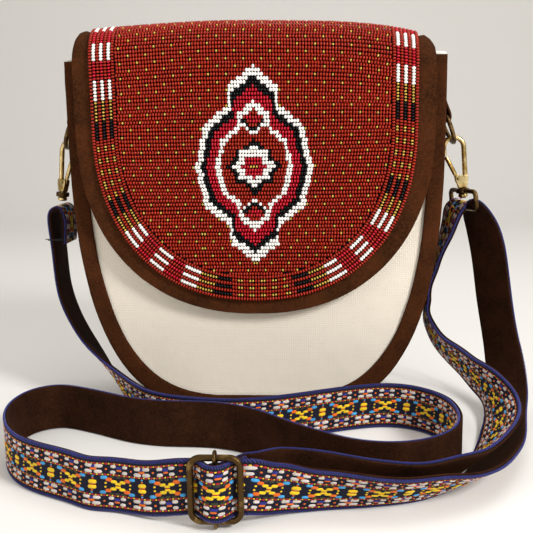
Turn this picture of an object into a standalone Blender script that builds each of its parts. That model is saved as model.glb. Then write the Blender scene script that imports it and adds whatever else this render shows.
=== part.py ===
# Beaded crossbody bag: suede body, padded canvas front, beaded flap and a woven strap.
# Metres, +Z up. The origin is the middle of the flat foot, the front faces -Y.
import bpy
import bmesh
import math
import numpy as np
from mathutils import Vector

# Bag body
BAG_WIDTH = 0.2147
BAG_DEPTH = 0.060
BODY_TOP = 0.206
SIDE_STRAIGHT = 0.034
SIDE_POWER = 2.6
FOOT_POWER = 3.5
FOOT_SINK = 0.0006
SUEDE = 0.0020
CANVAS = 0.0008
LINING = 0.0007
PADDING = 0.0026
PUFF = 0.0035
BINDING_WIDTH = 0.0095
BINDING = 0.0018
GAP = 0.0003

# Flap
FLAP_WIDTH = 0.201
FLAP_BOTTOM = 0.0617
FLAP_STRAIGHT_DROP = 0.038
FLAP_POWER = 2.25
FLAP_RISE = 0.0150
FLAP_BEND = 0.0135
FLAP_STANDOFF = 0.0068
FLAP_ARCH = 0.0040
FLAP_ARCH_POWER = 2.5
FLAP_DROOP = 0.0040
FLAP_DROOP_POWER = 14.0
FLAP_ARCH_FADE = 0.046
FLAP_LINING = 0.0006
FLAP_SUEDE = 0.0014
FELT = 0.0006
BEAD_HEIGHT = 0.0017
BEAD_MARGIN = 0.0097
BEAD_MARGIN_BELOW = 0.008
BEAD_TOP_ANGLE = 4.0
BEAD_ROW = 0.0021
BORDER_LANES = 7
LINING_INSET = 0.0012
MEDALLION_WIDTH_SHARE = 0.434
MEDALLION_HEIGHT_SHARE = 0.89
BEAD_ROWS_BETWEEN = 7
BEAD_GROOVE = 0.0007
BEAD_GROOVE_WIDTH = 0.0009

# Magnetic snap
SNAP_Z = 0.084
SNAP_RADIUS = 0.0088
SOCKET_HEIGHT = 0.0015
STUD_HEIGHT = 0.0006
SNAP_PIN_RADIUS = 0.0022
SNAP_PIN_LENGTH = 0.0011
SNAP_PIN_PLAY = 0.0011
SNAP_PUFF_SHARE = 0.3

# Ring tabs and rings
TAB_WIDTH = 0.018
TAB_THICK = 0.0013
TAB_DROP = 0.008
TAB_MEET_DROP = 0.022
RING_BAR_DROP = 0.034
RING_WIRE = 0.0014
RING_BAR_LENGTH = 0.024
RING_REACH = 0.016
RING_TILT = 22.0
RING_CURVE_POWER = 0.8
RING_STEPS = 16

# Snap hooks, each with its gate, pin and swivel loop
HOOK_WIRE = 0.0015
HOOK_BEND = 0.0059
HOOK_BEND_U = -0.0032
HOOK_BEND_V = 0.0250
HOOK_TIP_V = 0.0206
HOOK_TIP_IN = 0.0004
BLOCK_TOP_LEFT = 0.0043
BLOCK_TOP_RIGHT = 0.0037
BLOCK_BOTTOM = 0.0025
BLOCK_HEIGHT = 0.0077
BLOCK_THICK = 0.0040
GATE_PIVOT_U = -0.0025
GATE_PIVOT_V = 0.0058
GATE_WIRE = 0.0013
GATE_TANG = 0.0012
GATE_EYE = 0.0016
GATE_PIN_RADIUS = 0.0007
STEM_RADIUS = 0.0016
STEM_HEAD_RADIUS = 0.0028
STEM_HEAD = 0.0022
HOOK_RISE_SHARES = [0.4, 0.75]
HOOK_BEND_STEPS = 12
NECK_SHARE = 0.8
EYE_DEGREES = range(180, 361, 20)
HOOK_TILT = 6.0
LEFT_HOOK_YAW = 40.0
LEFT_HOOK_SHIFT = 0.00125
LEFT_HOOK_LIFT = 0.0006
BOSS_RADIUS = 0.0040
BOSS_HEIGHT = 0.0028
LOOP_WIRE = 0.0014
LOOP_DROP = 0.0104
LOOP_ROUND = 0.0030
RIGHT_LOOP_TURN = 17.0

# Strap
STRAP_WIDTH = 0.025
WEBBING = 0.00095
BACKING = 0.00095
STRAP_STEP = 0.0075
STRAP_TIGHT_STEP = 0.0016
STRAP_REACH = 0.1755
TACK_RADIUS = 0.0006
TACK_RISE = 0.0027800712
TACK_ROW = 6
LOOP_ZONE_TURNS = 4
SLIDER_ZONE_SHARE = 1.4
WRAP_DEGREES = range(-75, -286, -30)
WRAP_TAPER_START = 0.45

# Slider
SLIDER_X = -0.0095
SLIDER_WIRE = 0.00145
SLIDER_INNER_WIDTH = 0.0184
SLIDER_ROUND = 0.0045
SLIDER_PLAY = 0.0006
BAR_RADIUS = 0.0013
BAR_SET_BACK = 0.0012
EYE_WIRE = 0.0008

# Sides and steps of round parts
THIN_SIDES = 6
ROD_SIDES = 8
WIRE_SIDES = 12
STEM_SIDES = 16
BOSS_SIDES = 20
SNAP_SIDES = 28
CORNER_STEPS = 4
MITRE_LIMIT = 0.5

# Colours, linear
SUEDE_BROWN = (0.045, 0.019, 0.010)
CANVAS_WHITE = (0.72, 0.66, 0.58)
BEAD_RED = (0.26, 0.025, 0.014)
BEAD_BORDER = (0.36, 0.05, 0.03)
BEAD_PALE = (0.75, 0.70, 0.66)
FELT_BLACK = (0.02, 0.015, 0.015)
BRASS = (0.55, 0.40, 0.16)
DARK_BRASS = (0.16, 0.11, 0.05)
STRAP_NAVY = (0.03, 0.03, 0.10)
THREAD_BLACK = (0.01, 0.01, 0.01)

# Strap route. Each row: x, y and lift as shares of the hook loop's x, of the strap's reach in
# front of the bag and of the loop bar's height, then the direction of the strap's near edge.
LEFT_ROUTE_SHARES = [
    (-0.962, 0.000, 0.854, 0.00, -1.00, 0.00),
    (-0.954, 0.000, 0.937, 0.00, -1.00, 0.00),
    (-0.957, 0.000, 1.002, 0.00, -1.00, 0.00),
    (-0.982, 0.000, 1.046, 0.00, -1.00, 0.00),
    (-1.010, 0.000, 1.036, 0.00, -1.00, 0.00),
    (-1.026, 0.000, 0.984, 0.00, -1.00, 0.00),
    (-1.021, 0.000, 0.902, 0.00, -1.00, 0.00),
    (-1.013, 0.000, 0.781, 0.00, -1.00, 0.00),
    (-0.994, -0.003, 0.567, 0.00, -1.00, 0.05),
    (-0.934, -0.020, 0.382, -0.08, -0.96, 0.28),
    (-0.850, -0.056, 0.240, -0.20, -0.86, 0.47),
    (-0.728, -0.142, 0.102, -0.18, -0.65, 0.74),
    (-0.596, -0.268, 0.019, -0.10, -0.30, 0.95),
    (-0.456, -0.393, 0.000, 0.00, -0.10, 0.99),
    (-0.288, -0.453, 0.000, 0.00, 0.00, 1.00),
    (-0.128, -0.470, 0.000, 0.00, 0.00, 1.00),
    (0.032, -0.459, 0.000, 0.00, 0.00, 1.00),
    (0.184, -0.423, 0.000, 0.00, 0.00, 1.00),
    (0.328, -0.378, 0.000, 0.00, 0.00, 1.00),
    (0.448, -0.345, 0.000, 0.00, 0.00, 1.00),
    (0.560, -0.326, 0.000, 0.00, 0.00, 1.00),
    (0.664, -0.334, 0.000, 0.00, 0.00, 1.00),
    (0.760, -0.379, 0.000, 0.00, 0.00, 1.00),
    (0.824, -0.447, 0.000, 0.00, 0.00, 1.00),
    (0.850, -0.541, 0.000, 0.00, 0.00, 1.00),
    (0.840, -0.632, 0.000, 0.00, 0.00, 1.00),
    (0.796, -0.709, 0.000, 0.00, 0.00, 1.00),
    (0.724, -0.764, 0.000, 0.00, 0.00, 1.00),
    (0.624, -0.801, 0.000, 0.00, 0.00, 1.00),
    (0.512, -0.808, 0.000, 0.00, 0.00, 1.00),
    (0.400, -0.786, 0.000, 0.00, 0.00, 1.00),
    (0.296, -0.738, 0.000, 0.00, 0.00, 1.00),
    (0.176, -0.670, 0.000, 0.00, 0.00, 1.00),
    (0.064, -0.595, 0.000, 0.00, 0.00, 1.00),
    (-0.056, -0.533, 0.000, 0.00, 0.00, 1.00),
    (-0.192, -0.503, 0.000, 0.00, 0.00, 1.00),
    (-0.368, -0.495, 0.000, 0.00, 0.00, 1.00),
    (-0.528, -0.467, 0.000, 0.00, 0.00, 1.00),
    (-0.664, -0.416, 0.000, 0.00, 0.00, 1.00),
    (-0.792, -0.368, 0.000, 0.00, 0.00, 1.00),
    (-0.896, -0.348, 0.000, 0.00, 0.00, 1.00),
    (-0.980, -0.379, 0.000, 0.00, 0.00, 1.00),
    (-1.028, -0.456, 0.000, 0.00, 0.00, 1.00),
    (-1.026, -0.558, 0.000, 0.00, 0.00, 1.00),
    (-0.980, -0.658, 0.000, 0.00, 0.00, 1.00),
    (-0.896, -0.752, 0.000, 0.00, 0.00, 1.00),
    (-0.776, -0.821, 0.000, 0.00, 0.00, 1.00),
    (-0.632, -0.875, 0.000, 0.00, 0.00, 1.00),
    (-0.480, -0.920, 0.000, 0.00, 0.00, 1.00),
    (-0.360, -0.943, 0.000, 0.00, 0.00, 1.00),
]

RIGHT_ROUTE_SHARES = [
    (0.320, -0.930, 0.000, 0.00, -0.46, 0.88),
    (0.440, -0.926, 0.000, 0.00, -0.58, 0.81),
    (0.568, -0.912, 0.000, 0.00, -0.68, 0.73),
    (0.704, -0.875, 0.000, 0.00, -0.74, 0.67),
    (0.810, -0.826, 0.000, 0.12, -0.82, 0.54),
    (0.880, -0.772, 0.000, 0.42, -0.75, 0.50),
    (0.945, -0.697, 0.000, 0.60, -0.63, 0.47),
    (1.004, -0.610, 0.000, 0.74, -0.46, 0.47),
    (1.061, -0.482, 0.000, 0.83, -0.31, 0.47),
    (1.119, -0.326, 0.008, 0.84, -0.30, 0.45),
    (1.157, -0.231, 0.050, 0.78, -0.50, 0.38),
    (1.179, -0.148, 0.136, 0.70, -0.64, 0.30),
    (1.178, -0.077, 0.276, 0.64, -0.75, 0.17),
    (1.150, -0.040, 0.505, 0.64, -0.76, 0.06),
    (1.126, -0.028, 0.711, 0.64, -0.76, 0.00),
    (1.093, -0.023, 0.874, 0.60, -0.79, 0.10),
    (1.052, -0.010, 0.985, 0.44, -0.88, 0.06),
    (1.000, 0.000, 1.046, 0.31, -0.95, 0.00),
    (0.960, 0.000, 1.022, 0.28, -0.95, 0.02),
    (0.939, 0.000, 0.958, 0.20, -0.97, 0.12),
    (0.920, 0.002, 0.875, 0.12, -0.98, 0.13),
    (0.887, 0.002, 0.764, -0.04, -0.99, 0.10),
    (0.864, 0.002, 0.668, -0.08, -0.99, 0.12),
    (0.838, -0.004, 0.579, -0.08, -0.98, 0.15),
    (0.828, -0.020, 0.495, -0.06, -0.98, 0.15),
    (0.822, -0.046, 0.423, -0.04, -0.97, 0.22),
    (0.840, -0.081, 0.345, 0.03, -0.94, 0.34),
    (0.885, -0.137, 0.271, 0.04, -0.90, 0.42),
    (0.938, -0.222, 0.234, 0.08, -0.91, 0.40),
    (0.982, -0.322, 0.212, 0.12, -0.92, 0.36),
    (1.016, -0.423, 0.195, 0.20, -0.92, 0.32),
    (1.028, -0.517, 0.163, 0.28, -0.90, 0.33),
    (1.006, -0.609, 0.133, 0.30, -0.88, 0.36),
    (0.945, -0.700, 0.092, 0.20, -0.86, 0.46),
    (0.862, -0.768, 0.048, 0.10, -0.80, 0.58),
    (0.764, -0.818, 0.020, 0.00, -0.68, 0.73),
    (0.644, -0.856, 0.000, 0.00, -0.58, 0.81),
    (0.512, -0.876, 0.000, 0.00, -0.46, 0.89),
    (0.380, -0.885, 0.010, 0.00, -0.32, 0.94),
    (0.250, -0.892, 0.025, 0.00, -0.16, 0.98),
]
# Where the two loop bars stand in those shares
LEFT_BAR_SHARES = (0.990, 1.0215)
RIGHT_BAR_SHARES = (1.0, 1.0213)
# Rows through the slider: x as a share of half its window, depth as a share of the strap's thickness
HUMP_SHARES = [(-1.52, -1.50), (-1.2, -1.52), (-0.957, -1.44), (-0.717, -0.72), (-0.5, 0.55), (-0.283, 1.50),
               (0.0, 1.85), (0.283, 1.50), (0.5, 0.55), (0.717, -0.72), (0.957, -1.44), (1.2, -1.52),
               (1.52, -1.58)]
TAIL_SHARES = [(1.74, -4.40), (1.2, -4.02), (0.74, -3.64), (0.348, -2.42)]
TAIL_END_SHARES = [(0.39, -0.80), (0.533, -1.62), (0.717, -2.28), (0.90, -2.66), (1.15, -2.84), (1.42, -2.94)]
APPROACH_SHARES = [(-3.8, -4.0, 0.08), (-2.9, -3.0, 0.45), (-2.0, -2.0, 0.85)]
LEAVE_SHARES = [(2.07, -2.25, 0.75, -0.12), (3.0, -3.9, 0.4, -0.22), (4.1, -4.9, 0.08, -0.38)]
INNER_SHARES = [(3.0, -8.0, 0.80, -0.06), (2.35, -6.0, 0.97, -0.02)]

HALF_WIDTH = BAG_WIDTH / 2
FRONT_Y = -BAG_DEPTH / 2
BACK_Y = BAG_DEPTH / 2
STRAP_THICK = WEBBING + BACKING + GAP
FLAP_FACE_Y = FRONT_Y - FLAP_STANDOFF
SUEDE_LEVEL = FLAP_LINING + GAP
FELT_LEVEL = SUEDE_LEVEL + FLAP_SUEDE + GAP
BEAD_LEVEL = FELT_LEVEL + FELT + GAP
ROUND_START = BODY_TOP - SIDE_STRAIGHT
FLAP_ROUND_START = BODY_TOP - FLAP_STRAIGHT_DROP
TAB_TOP = BODY_TOP - TAB_DROP
TAB_MEET = BODY_TOP - TAB_MEET_DROP
RING_BAR_Z = BODY_TOP - RING_BAR_DROP
BORDER_WIDTH = BORDER_LANES * BEAD_ROW
FIELD_MARGIN = BEAD_MARGIN + BORDER_WIDTH + GAP
FIELD_MARGIN_BELOW = BEAD_MARGIN_BELOW + BORDER_WIDTH + GAP
FIELD_BOTTOM = FLAP_BOTTOM + FIELD_MARGIN_BELOW
FLAP_HINGE_Z = BODY_TOP + GAP
FLAP_BACK_Y = BACK_Y - GAP
FLAP_HINGE_Y = FLAP_BACK_Y + SUEDE_LEVEL + FLAP_SUEDE + GAP


def clear_scene():
    for item in list(bpy.data.objects):
        bpy.data.objects.remove(item, do_unlink=True)


def material(name, colour, roughness, metallic=0.0):
    finish = bpy.data.materials.new(name)
    finish.use_nodes = True
    shader = finish.node_tree.nodes["Principled BSDF"]
    shader.inputs["Base Color"].default_value = (*colour, 1.0)
    shader.inputs["Roughness"].default_value = roughness
    shader.inputs["Metallic"].default_value = metallic
    return finish


def add_mesh(name, points, faces, finish, origin=(0, 0, 0), sharp=35.0):
    # One closed body; its object's origin is where the piece turns, where it turns
    mesh = bpy.data.meshes.new(name)
    start = Vector(origin)
    mesh.from_pydata([Vector(p) - start for p in points], [], faces)
    shape = bmesh.new()
    shape.from_mesh(mesh)
    bmesh.ops.recalc_face_normals(shape, faces=shape.faces)
    shape.to_mesh(mesh)
    shape.free()
    mesh.shade_smooth()
    mesh.set_sharp_from_angle(angle=math.radians(sharp))
    item = bpy.data.objects.new(name, mesh)
    item.location = start
    bpy.context.scene.collection.objects.link(item)
    if finish:
        mesh.materials.append(finish)
    return item


def combine(item, tool, operation):
    # Cuts or joins with a guide that is not part of the bag
    tool.hide_render = True
    tool.display_type = "WIRE"
    change = item.modifiers.new(operation.lower() + "_" + tool.name, "BOOLEAN")
    change.operation = operation
    change.solver = "EXACT"
    change.object = tool
    return item


def loft(rings, closed_path=False):
    # Joins rings of equal count into one closed skin
    count = len(rings[0])
    points = [p for ring in rings for p in ring]
    faces = []
    steps = len(rings) if closed_path else len(rings) - 1
    for i in range(steps):
        a = i * count
        b = ((i + 1) % len(rings)) * count
        for j in range(count):
            k = (j + 1) % count
            faces.append((a + j, a + k, b + k, b + j))
    if not closed_path:
        faces.append(tuple(range(count - 1, -1, -1)))
        faces.append(tuple(range(len(points) - count, len(points))))
    return points, faces


def smooth_curve(rows):
    # A natural cubic spline through the rows
    rows = np.array(rows, dtype=float)
    chord = np.linalg.norm(np.diff(rows[:, :3], axis=0), axis=1)
    knots = np.concatenate([[0.0], np.cumsum(chord)])
    count = len(rows)
    matrix = np.zeros((count, count))
    right = np.zeros_like(rows)
    matrix[0, 0] = matrix[-1, -1] = 1.0
    for i in range(1, count - 1):
        before = knots[i] - knots[i - 1]
        after = knots[i + 1] - knots[i]
        matrix[i, i - 1:i + 2] = before, 2 * (before + after), after
        right[i] = 6 * ((rows[i + 1] - rows[i]) / after - (rows[i] - rows[i - 1]) / before)
    bend = np.linalg.solve(matrix, right)

    def read(place):
        i = int(np.clip(np.searchsorted(knots, place) - 1, 0, count - 2))
        span = knots[i + 1] - knots[i]
        a = (knots[i + 1] - place) / span
        b = 1 - a
        value = a * rows[i] + b * rows[i + 1]
        value = value + ((a ** 3 - a) * bend[i] + (b ** 3 - b) * bend[i + 1]) * span ** 2 / 6
        slope = (rows[i + 1] - rows[i]) / span
        slope = slope + ((3 * b * b - 1) * bend[i + 1] - (3 * a * a - 1) * bend[i]) * span / 6
        return value, slope[:3]
    return read, knots


def circle_ring(centre, across, up, radius, sides):
    angles = [2 * math.pi * (k + 0.5) / sides for k in range(sides)]
    return [centre + across * (radius * math.cos(a)) + up * (radius * math.sin(a)) for a in angles]


def tube(path, radius, sides, closed, normal):
    # A round bar along a flat path; normal stands square to the path's plane
    path = [Vector(p) for p in path]
    up = Vector(normal).normalized()
    rings = []
    last = len(path) - 1
    for i, point in enumerate(path):
        before = path[i - 1] if (closed or i > 0) else point
        after = path[(i + 1) % len(path)] if (closed or i < last) else point
        tangent = (after - before).normalized()
        across = tangent.cross(up).normalized()
        stretch = 1.0
        if before != point and after != point:
            half = (point - before).normalized().dot(tangent)
            stretch = 1 / max(half, MITRE_LIMIT)
        ring = []
        for k in range(sides):
            angle = 2 * math.pi * (k + 0.5) / sides
            ring.append(point + across * (radius * stretch * math.cos(angle)) + up * (radius * math.sin(angle)))
        rings.append(ring)
    return loft(rings, closed)


def rounded_rectangle(half_a, half_b, corner, steps):
    # Corner arcs of a rectangle, anticlockwise from the lower right
    points = []
    centres = [(1, -1, -90), (1, 1, 0), (-1, 1, 90), (-1, -1, 180)]
    for sign_a, sign_b, start in centres:
        for k in range(steps + 1):
            angle = math.radians(start + 90 * k / steps)
            points.append((sign_a * (half_a - corner) + corner * math.cos(angle),
                           sign_b * (half_b - corner) + corner * math.sin(angle)))
    return points


def prism(outline, place, low, high):
    # A flat outline drawn by place(a, b, depth) between two depths
    points = [place(a, b, low) for a, b in outline] + [place(a, b, high) for a, b in outline]
    count = len(outline)
    faces = [tuple(range(count)), tuple(range(2 * count - 1, count - 1, -1))]
    for i in range(count):
        k = (i + 1) % count
        faces.append((i, k, count + k, count + i))
    return points, faces


def polygon(radius, sides):
    return [(radius * math.cos(2 * math.pi * k / sides), radius * math.sin(2 * math.pi * k / sides))
            for k in range(sides)]


# Body outline
OUTLINE_STEPS = 36
SIDE_STEPS = 3


def half_width_at(height, inset=0.0):
    if height >= ROUND_START:
        return HALF_WIDTH - inset
    depth = ROUND_START + FOOT_SINK - inset
    share = min(1.0, (ROUND_START - height) / depth)
    return (HALF_WIDTH - inset) * (1 - share ** SIDE_POWER) ** (1 / FOOT_POWER)


def outline(inset, top=BODY_TOP):
    # From the top left, down round the foot and up to the top right
    right = []
    for i in range(SIDE_STEPS):
        height = top + (ROUND_START - top) * i / SIDE_STEPS
        right.append((half_width_at(height, inset), height))
    depth = ROUND_START + FOOT_SINK - inset
    foot = inset
    foot_angle = math.asin(((ROUND_START - foot) / depth) ** (SIDE_POWER / 2))
    for i in range(OUTLINE_STEPS // 2 + 1):
        angle = foot_angle * i / (OUTLINE_STEPS // 2)
        x = (HALF_WIDTH - inset) * math.cos(angle) ** (2 / FOOT_POWER)
        right.append((x, ROUND_START - depth * math.sin(angle) ** (2 / SIDE_POWER)))
    left = [(-x, z) for x, z in right]
    return left + right[::-1]


def band(name, outer_inset, inner_inset, low_y, high_y, finish, top=BODY_TOP):
    # A strip that follows the outline, open at the mouth
    outer = outline(outer_inset, top)
    inner = outline(inner_inset, top)
    rings = []
    for (ax, az), (bx, bz) in zip(outer, inner):
        rings.append([Vector((ax, low_y, az)), Vector((ax, high_y, az)), Vector((bx, high_y, bz)),
                      Vector((bx, low_y, bz))])
    points, faces = loft(rings)
    return add_mesh(name, points, faces, finish)


def panel(name, inset, low_y, high_y, finish, top=BODY_TOP):
    points, faces = prism(outline(inset, top), lambda a, b, depth: Vector((a, depth, b)), low_y, high_y)
    return add_mesh(name, points, faces, finish)


PUFF_RING_SHARES = [1.0, 0.9, 0.8, 0.62, 0.4, 0.18]
PUFF_EDGE_SHARE = 0.9
PUFF_CENTRE_SHARE = 0.55
PUFF_POWER = 3
TOP_EDGE_STEPS = 8


def puff_at(share):
    # How far the padded front stands out at a share of the way to its edge
    return PUFF * max(0.0, 1 - (share / PUFF_EDGE_SHARE) ** PUFF_POWER)


def puffed_panel(name, inset, front, back, finish, flat_back=False):
    # A panel whose front swells, and its back too unless it is flat; front and back are its edge planes
    edge = outline(inset, BODY_TOP - GAP)
    first, last = edge[0], edge[-1]
    for i in range(1, TOP_EDGE_STEPS):
        share = i / TOP_EDGE_STEPS
        edge.append((last[0] + (first[0] - last[0]) * share, last[1]))
    centre_z = BODY_TOP * PUFF_CENTRE_SHARE
    count = len(edge)
    points, faces = [], []

    def add_side(plane):
        start = len(points)
        for share in PUFF_RING_SHARES:
            for x, z in edge:
                points.append(Vector((x * share, plane - puff_at(share), centre_z + (z - centre_z) * share)))
        points.append(Vector((0, plane - puff_at(0), centre_z)))
        for r in range(len(PUFF_RING_SHARES) - 1):
            a = start + r * count
            faces.extend((a + j, a + (j + 1) % count, a + count + (j + 1) % count, a + count + j) for j in range(count))
        a = len(points) - 1 - count
        faces.extend((a + j, a + (j + 1) % count, a + count) for j in range(count))
        return start

    a = add_side(front)
    if flat_back:
        b = len(points)
        points.extend(Vector((x, back, z)) for x, z in edge)
        faces.append(tuple(range(b, b + count)))
    else:
        b = add_side(back)
    for j in range(count):
        k = (j + 1) % count
        faces.append((a + j, a + k, b + k, b + j))
    return add_mesh(name, points, faces, finish)


def build_body(finishes):
    suede, canvas, lining = finishes["suede"], finishes["canvas"], finishes["lining"]
    inner = SUEDE + GAP
    canvas_front = FRONT_Y + GAP
    canvas_back = canvas_front + CANVAS
    padding_back = canvas_back + GAP + PADDING
    lining_back = padding_back + GAP + LINING
    back_front = BACK_Y - SUEDE
    back_lining = back_front - GAP - LINING
    band("gusset", 0.0, SUEDE, FRONT_Y + GAP, BACK_Y - GAP, suede)
    band("front_binding", 0.0, BINDING_WIDTH, FRONT_Y - BINDING, FRONT_Y, suede)
    band("back_binding", 0.0, BINDING_WIDTH, BACK_Y, BACK_Y + BINDING, suede, BODY_TOP - BINDING_WIDTH)
    puffed_panel("front_panel", inner, canvas_front, canvas_back, canvas)
    puffed_panel("front_padding", inner, canvas_back + GAP, padding_back, lining, True)
    panel("front_lining", inner, padding_back + GAP, lining_back, lining, BODY_TOP - GAP)
    panel("back_panel", inner, back_front, BACK_Y - GAP, suede)
    panel("back_lining", inner, back_lining, back_front - GAP, lining)
    band("gusset_lining", inner, inner + LINING, lining_back + GAP, back_lining - GAP, lining)


# Flap
BACK_RISE = FLAP_RISE - FLAP_BEND
ARC = FLAP_BEND * math.pi / 2
CREST_Z = FLAP_HINGE_Z + FLAP_RISE
CREST_LENGTH = FLAP_BACK_Y - FLAP_FACE_Y - 2 * FLAP_BEND
FRONT_START = BACK_RISE + ARC + CREST_LENGTH + ARC
FRONT_START_Z = CREST_Z - FLAP_BEND
ARC_STEPS = 5
CREST_STEPS = 3
FRONT_STEPS = 4


def smooth_share(value):
    value = min(1.0, max(0.0, value))
    return value * value * (3 - 2 * value)


def flap_profile(along):
    # Inner surface of the flap from its seam at the back, over the top and down the front
    if along <= BACK_RISE:
        return FLAP_BACK_Y, FLAP_HINGE_Z + along, 1.0, 0.0
    if along <= BACK_RISE + ARC:
        angle = (along - BACK_RISE) / FLAP_BEND
        y = FLAP_BACK_Y - FLAP_BEND + FLAP_BEND * math.cos(angle)
        return y, CREST_Z - FLAP_BEND + FLAP_BEND * math.sin(angle), math.cos(angle), math.sin(angle)
    if along <= BACK_RISE + ARC + CREST_LENGTH:
        return FLAP_BACK_Y - FLAP_BEND - (along - BACK_RISE - ARC), CREST_Z, 0.0, 1.0
    if along <= FRONT_START:
        angle = math.pi / 2 + (along - BACK_RISE - ARC - CREST_LENGTH) / FLAP_BEND
        y = FLAP_FACE_Y + FLAP_BEND + FLAP_BEND * math.cos(angle)
        return y, CREST_Z - FLAP_BEND + FLAP_BEND * math.sin(angle), math.cos(angle), math.sin(angle)
    return FLAP_FACE_Y, FRONT_START_Z - (along - FRONT_START), -1.0, 0.0


def flap_point(x, along, offset):
    y, z, out_y, out_z = flap_profile(along)
    rise = smooth_share((along - BACK_RISE) / ARC)
    fade = 1 - smooth_share((along - FRONT_START) / FLAP_ARCH_FADE)
    out = min(1.0, abs(x) / (FLAP_WIDTH / 2))
    sag = (FLAP_ARCH * out ** FLAP_ARCH_POWER + FLAP_DROOP * out ** FLAP_DROOP_POWER) * rise * fade
    return Vector((x, y + out_y * offset, z + out_z * offset - sag))


def front_along(height):
    return FRONT_START + FRONT_START_Z - height


def flap_edge(side_margin, bottom_margin, start, steps):
    # Half width and place along the flap, from a start down to the bottom
    rows = []
    half = FLAP_WIDTH / 2 - side_margin
    depth = FLAP_ROUND_START - FLAP_BOTTOM - bottom_margin
    straight_end = front_along(FLAP_ROUND_START)
    marks = [0.0, BACK_RISE]
    marks += [BACK_RISE + ARC * (i + 1) / ARC_STEPS for i in range(ARC_STEPS)]
    marks += [BACK_RISE + ARC + CREST_LENGTH * (i + 1) / CREST_STEPS for i in range(CREST_STEPS)]
    marks += [BACK_RISE + ARC + CREST_LENGTH + ARC * (i + 1) / ARC_STEPS for i in range(ARC_STEPS)]
    marks += [FRONT_START + (straight_end - FRONT_START) * (i + 1) / FRONT_STEPS for i in range(FRONT_STEPS)]
    rows.append((half, start))
    for mark in marks:
        if mark > start + GAP:
            rows.append((half, mark))
    for i in range(1, steps + 1):
        angle = math.pi / 2 * i / steps
        width = half * max(0.0, math.cos(angle)) ** (2 / FLAP_POWER)
        rows.append((width, straight_end + depth * math.sin(angle) ** (2 / FLAP_POWER)))
    return rows


COLUMN_SHARES = [-1, -0.94, -0.82, -0.62, -0.32, 0, 0.32, 0.62, 0.82, 0.94, 1]
FLAP_ROUND_STEPS = 14


def bead_grooves(start):
    # Places along the flap where a groove between bead rows is deep enough to model
    step = BEAD_ROW * BEAD_ROWS_BETWEEN
    end = front_along(FIELD_BOTTOM) - step / 2
    return [start + step * k for k in range(1, int((end - start) / step) + 1)]


def with_grooves(rows, grooves):
    # Rows of half width, place and depth, with three rows for each groove
    places = [along for _, along in rows]
    widths = [width for width, _ in rows]
    grooved = [(width, along, 0.0) for width, along in rows
               if all(abs(along - groove) > 2 * BEAD_GROOVE_WIDTH for groove in grooves)]
    for groove in grooves:
        for sign in (-1, 0, 1):
            along = groove + sign * BEAD_GROOVE_WIDTH
            grooved.append((float(np.interp(along, places, widths)), along, 0.0 if sign else BEAD_GROOVE))
    return sorted(grooved, key=lambda row: row[1])


def flap_sheet(name, side_margin, bottom_margin, start, low, high, finish, grooves=()):
    # A whole layer of the flap between two offsets
    rows = with_grooves(flap_edge(side_margin, bottom_margin, start, FLAP_ROUND_STEPS)[:-1], grooves)
    count = len(COLUMN_SHARES)
    points = []
    for offset, cut in ((low, 0), (high, 1)):
        for width, along, depth in rows:
            points += [flap_point(width * share, along, offset - cut * depth) for share in COLUMN_SHARES]
    block = len(rows) * count
    faces = []
    for side in (0, block):
        for r in range(len(rows) - 1):
            for j in range(count - 1):
                a = side + r * count + j
                faces.append((a, a + 1, a + count + 1, a + count))
    rim = list(range(count)) + [r * count + count - 1 for r in range(1, len(rows))]
    rim += [(len(rows) - 1) * count + j for j in range(count - 2, -1, -1)]
    rim += [r * count for r in range(len(rows) - 2, 0, -1)]
    for i, a in enumerate(rim):
        b = rim[(i + 1) % len(rim)]
        faces.append((a, b, block + b, block + a))
    return add_mesh(name, points, faces, finish, (0, FLAP_HINGE_Y, FLAP_HINGE_Z))


def flap_border(name, margin, margin_below, width, start, low, high, finish):
    # The bead border: a band down one side, round the bottom and up the other side
    outer = flap_edge(margin, margin_below, start, FLAP_ROUND_STEPS)
    inner = flap_edge(margin + width, margin_below + width, start, FLAP_ROUND_STEPS)
    pairs = [(-a[0], a[1], -b[0], b[1]) for a, b in zip(outer, inner)]
    pairs += [(a[0], a[1], b[0], b[1]) for a, b in zip(outer[-2::-1], inner[-2::-1])]
    rings = []
    for ax, a_along, bx, b_along in pairs:
        rings.append([flap_point(ax, a_along, low), flap_point(ax, a_along, high),
                      flap_point(bx, b_along, high), flap_point(bx, b_along, low)])
    points, faces = loft(rings)
    return add_mesh(name, points, faces, finish, (0, FLAP_HINGE_Y, FLAP_HINGE_Z))


MEDALLION_SHARES = [(0.0, 1.0), (0.42, 0.80), (0.42, 0.62), (0.84, 0.42), (1.0, 0.0)]
MEDALLION_WIDTH = MEDALLION_WIDTH_SHARE * (FLAP_WIDTH - 2 * FIELD_MARGIN)
MEDALLION_HEIGHT = MEDALLION_HEIGHT_SHARE * (FRONT_START_Z - FIELD_BOTTOM)
MEDALLION_CENTRE_Z = (FRONT_START_Z + FIELD_BOTTOM) / 2


def medallion_outline(trim):
    # A tall stepped diamond, the same on all four sides
    half = MEDALLION_WIDTH / 2 - trim
    tall = MEDALLION_HEIGHT / 2 - trim
    quarter = [(a * half, b * tall) for a, b in MEDALLION_SHARES]
    right = quarter + [(a, -b) for a, b in quarter[-2::-1]]
    return right + [(-a, b) for a, b in right[-2:0:-1]]


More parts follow.
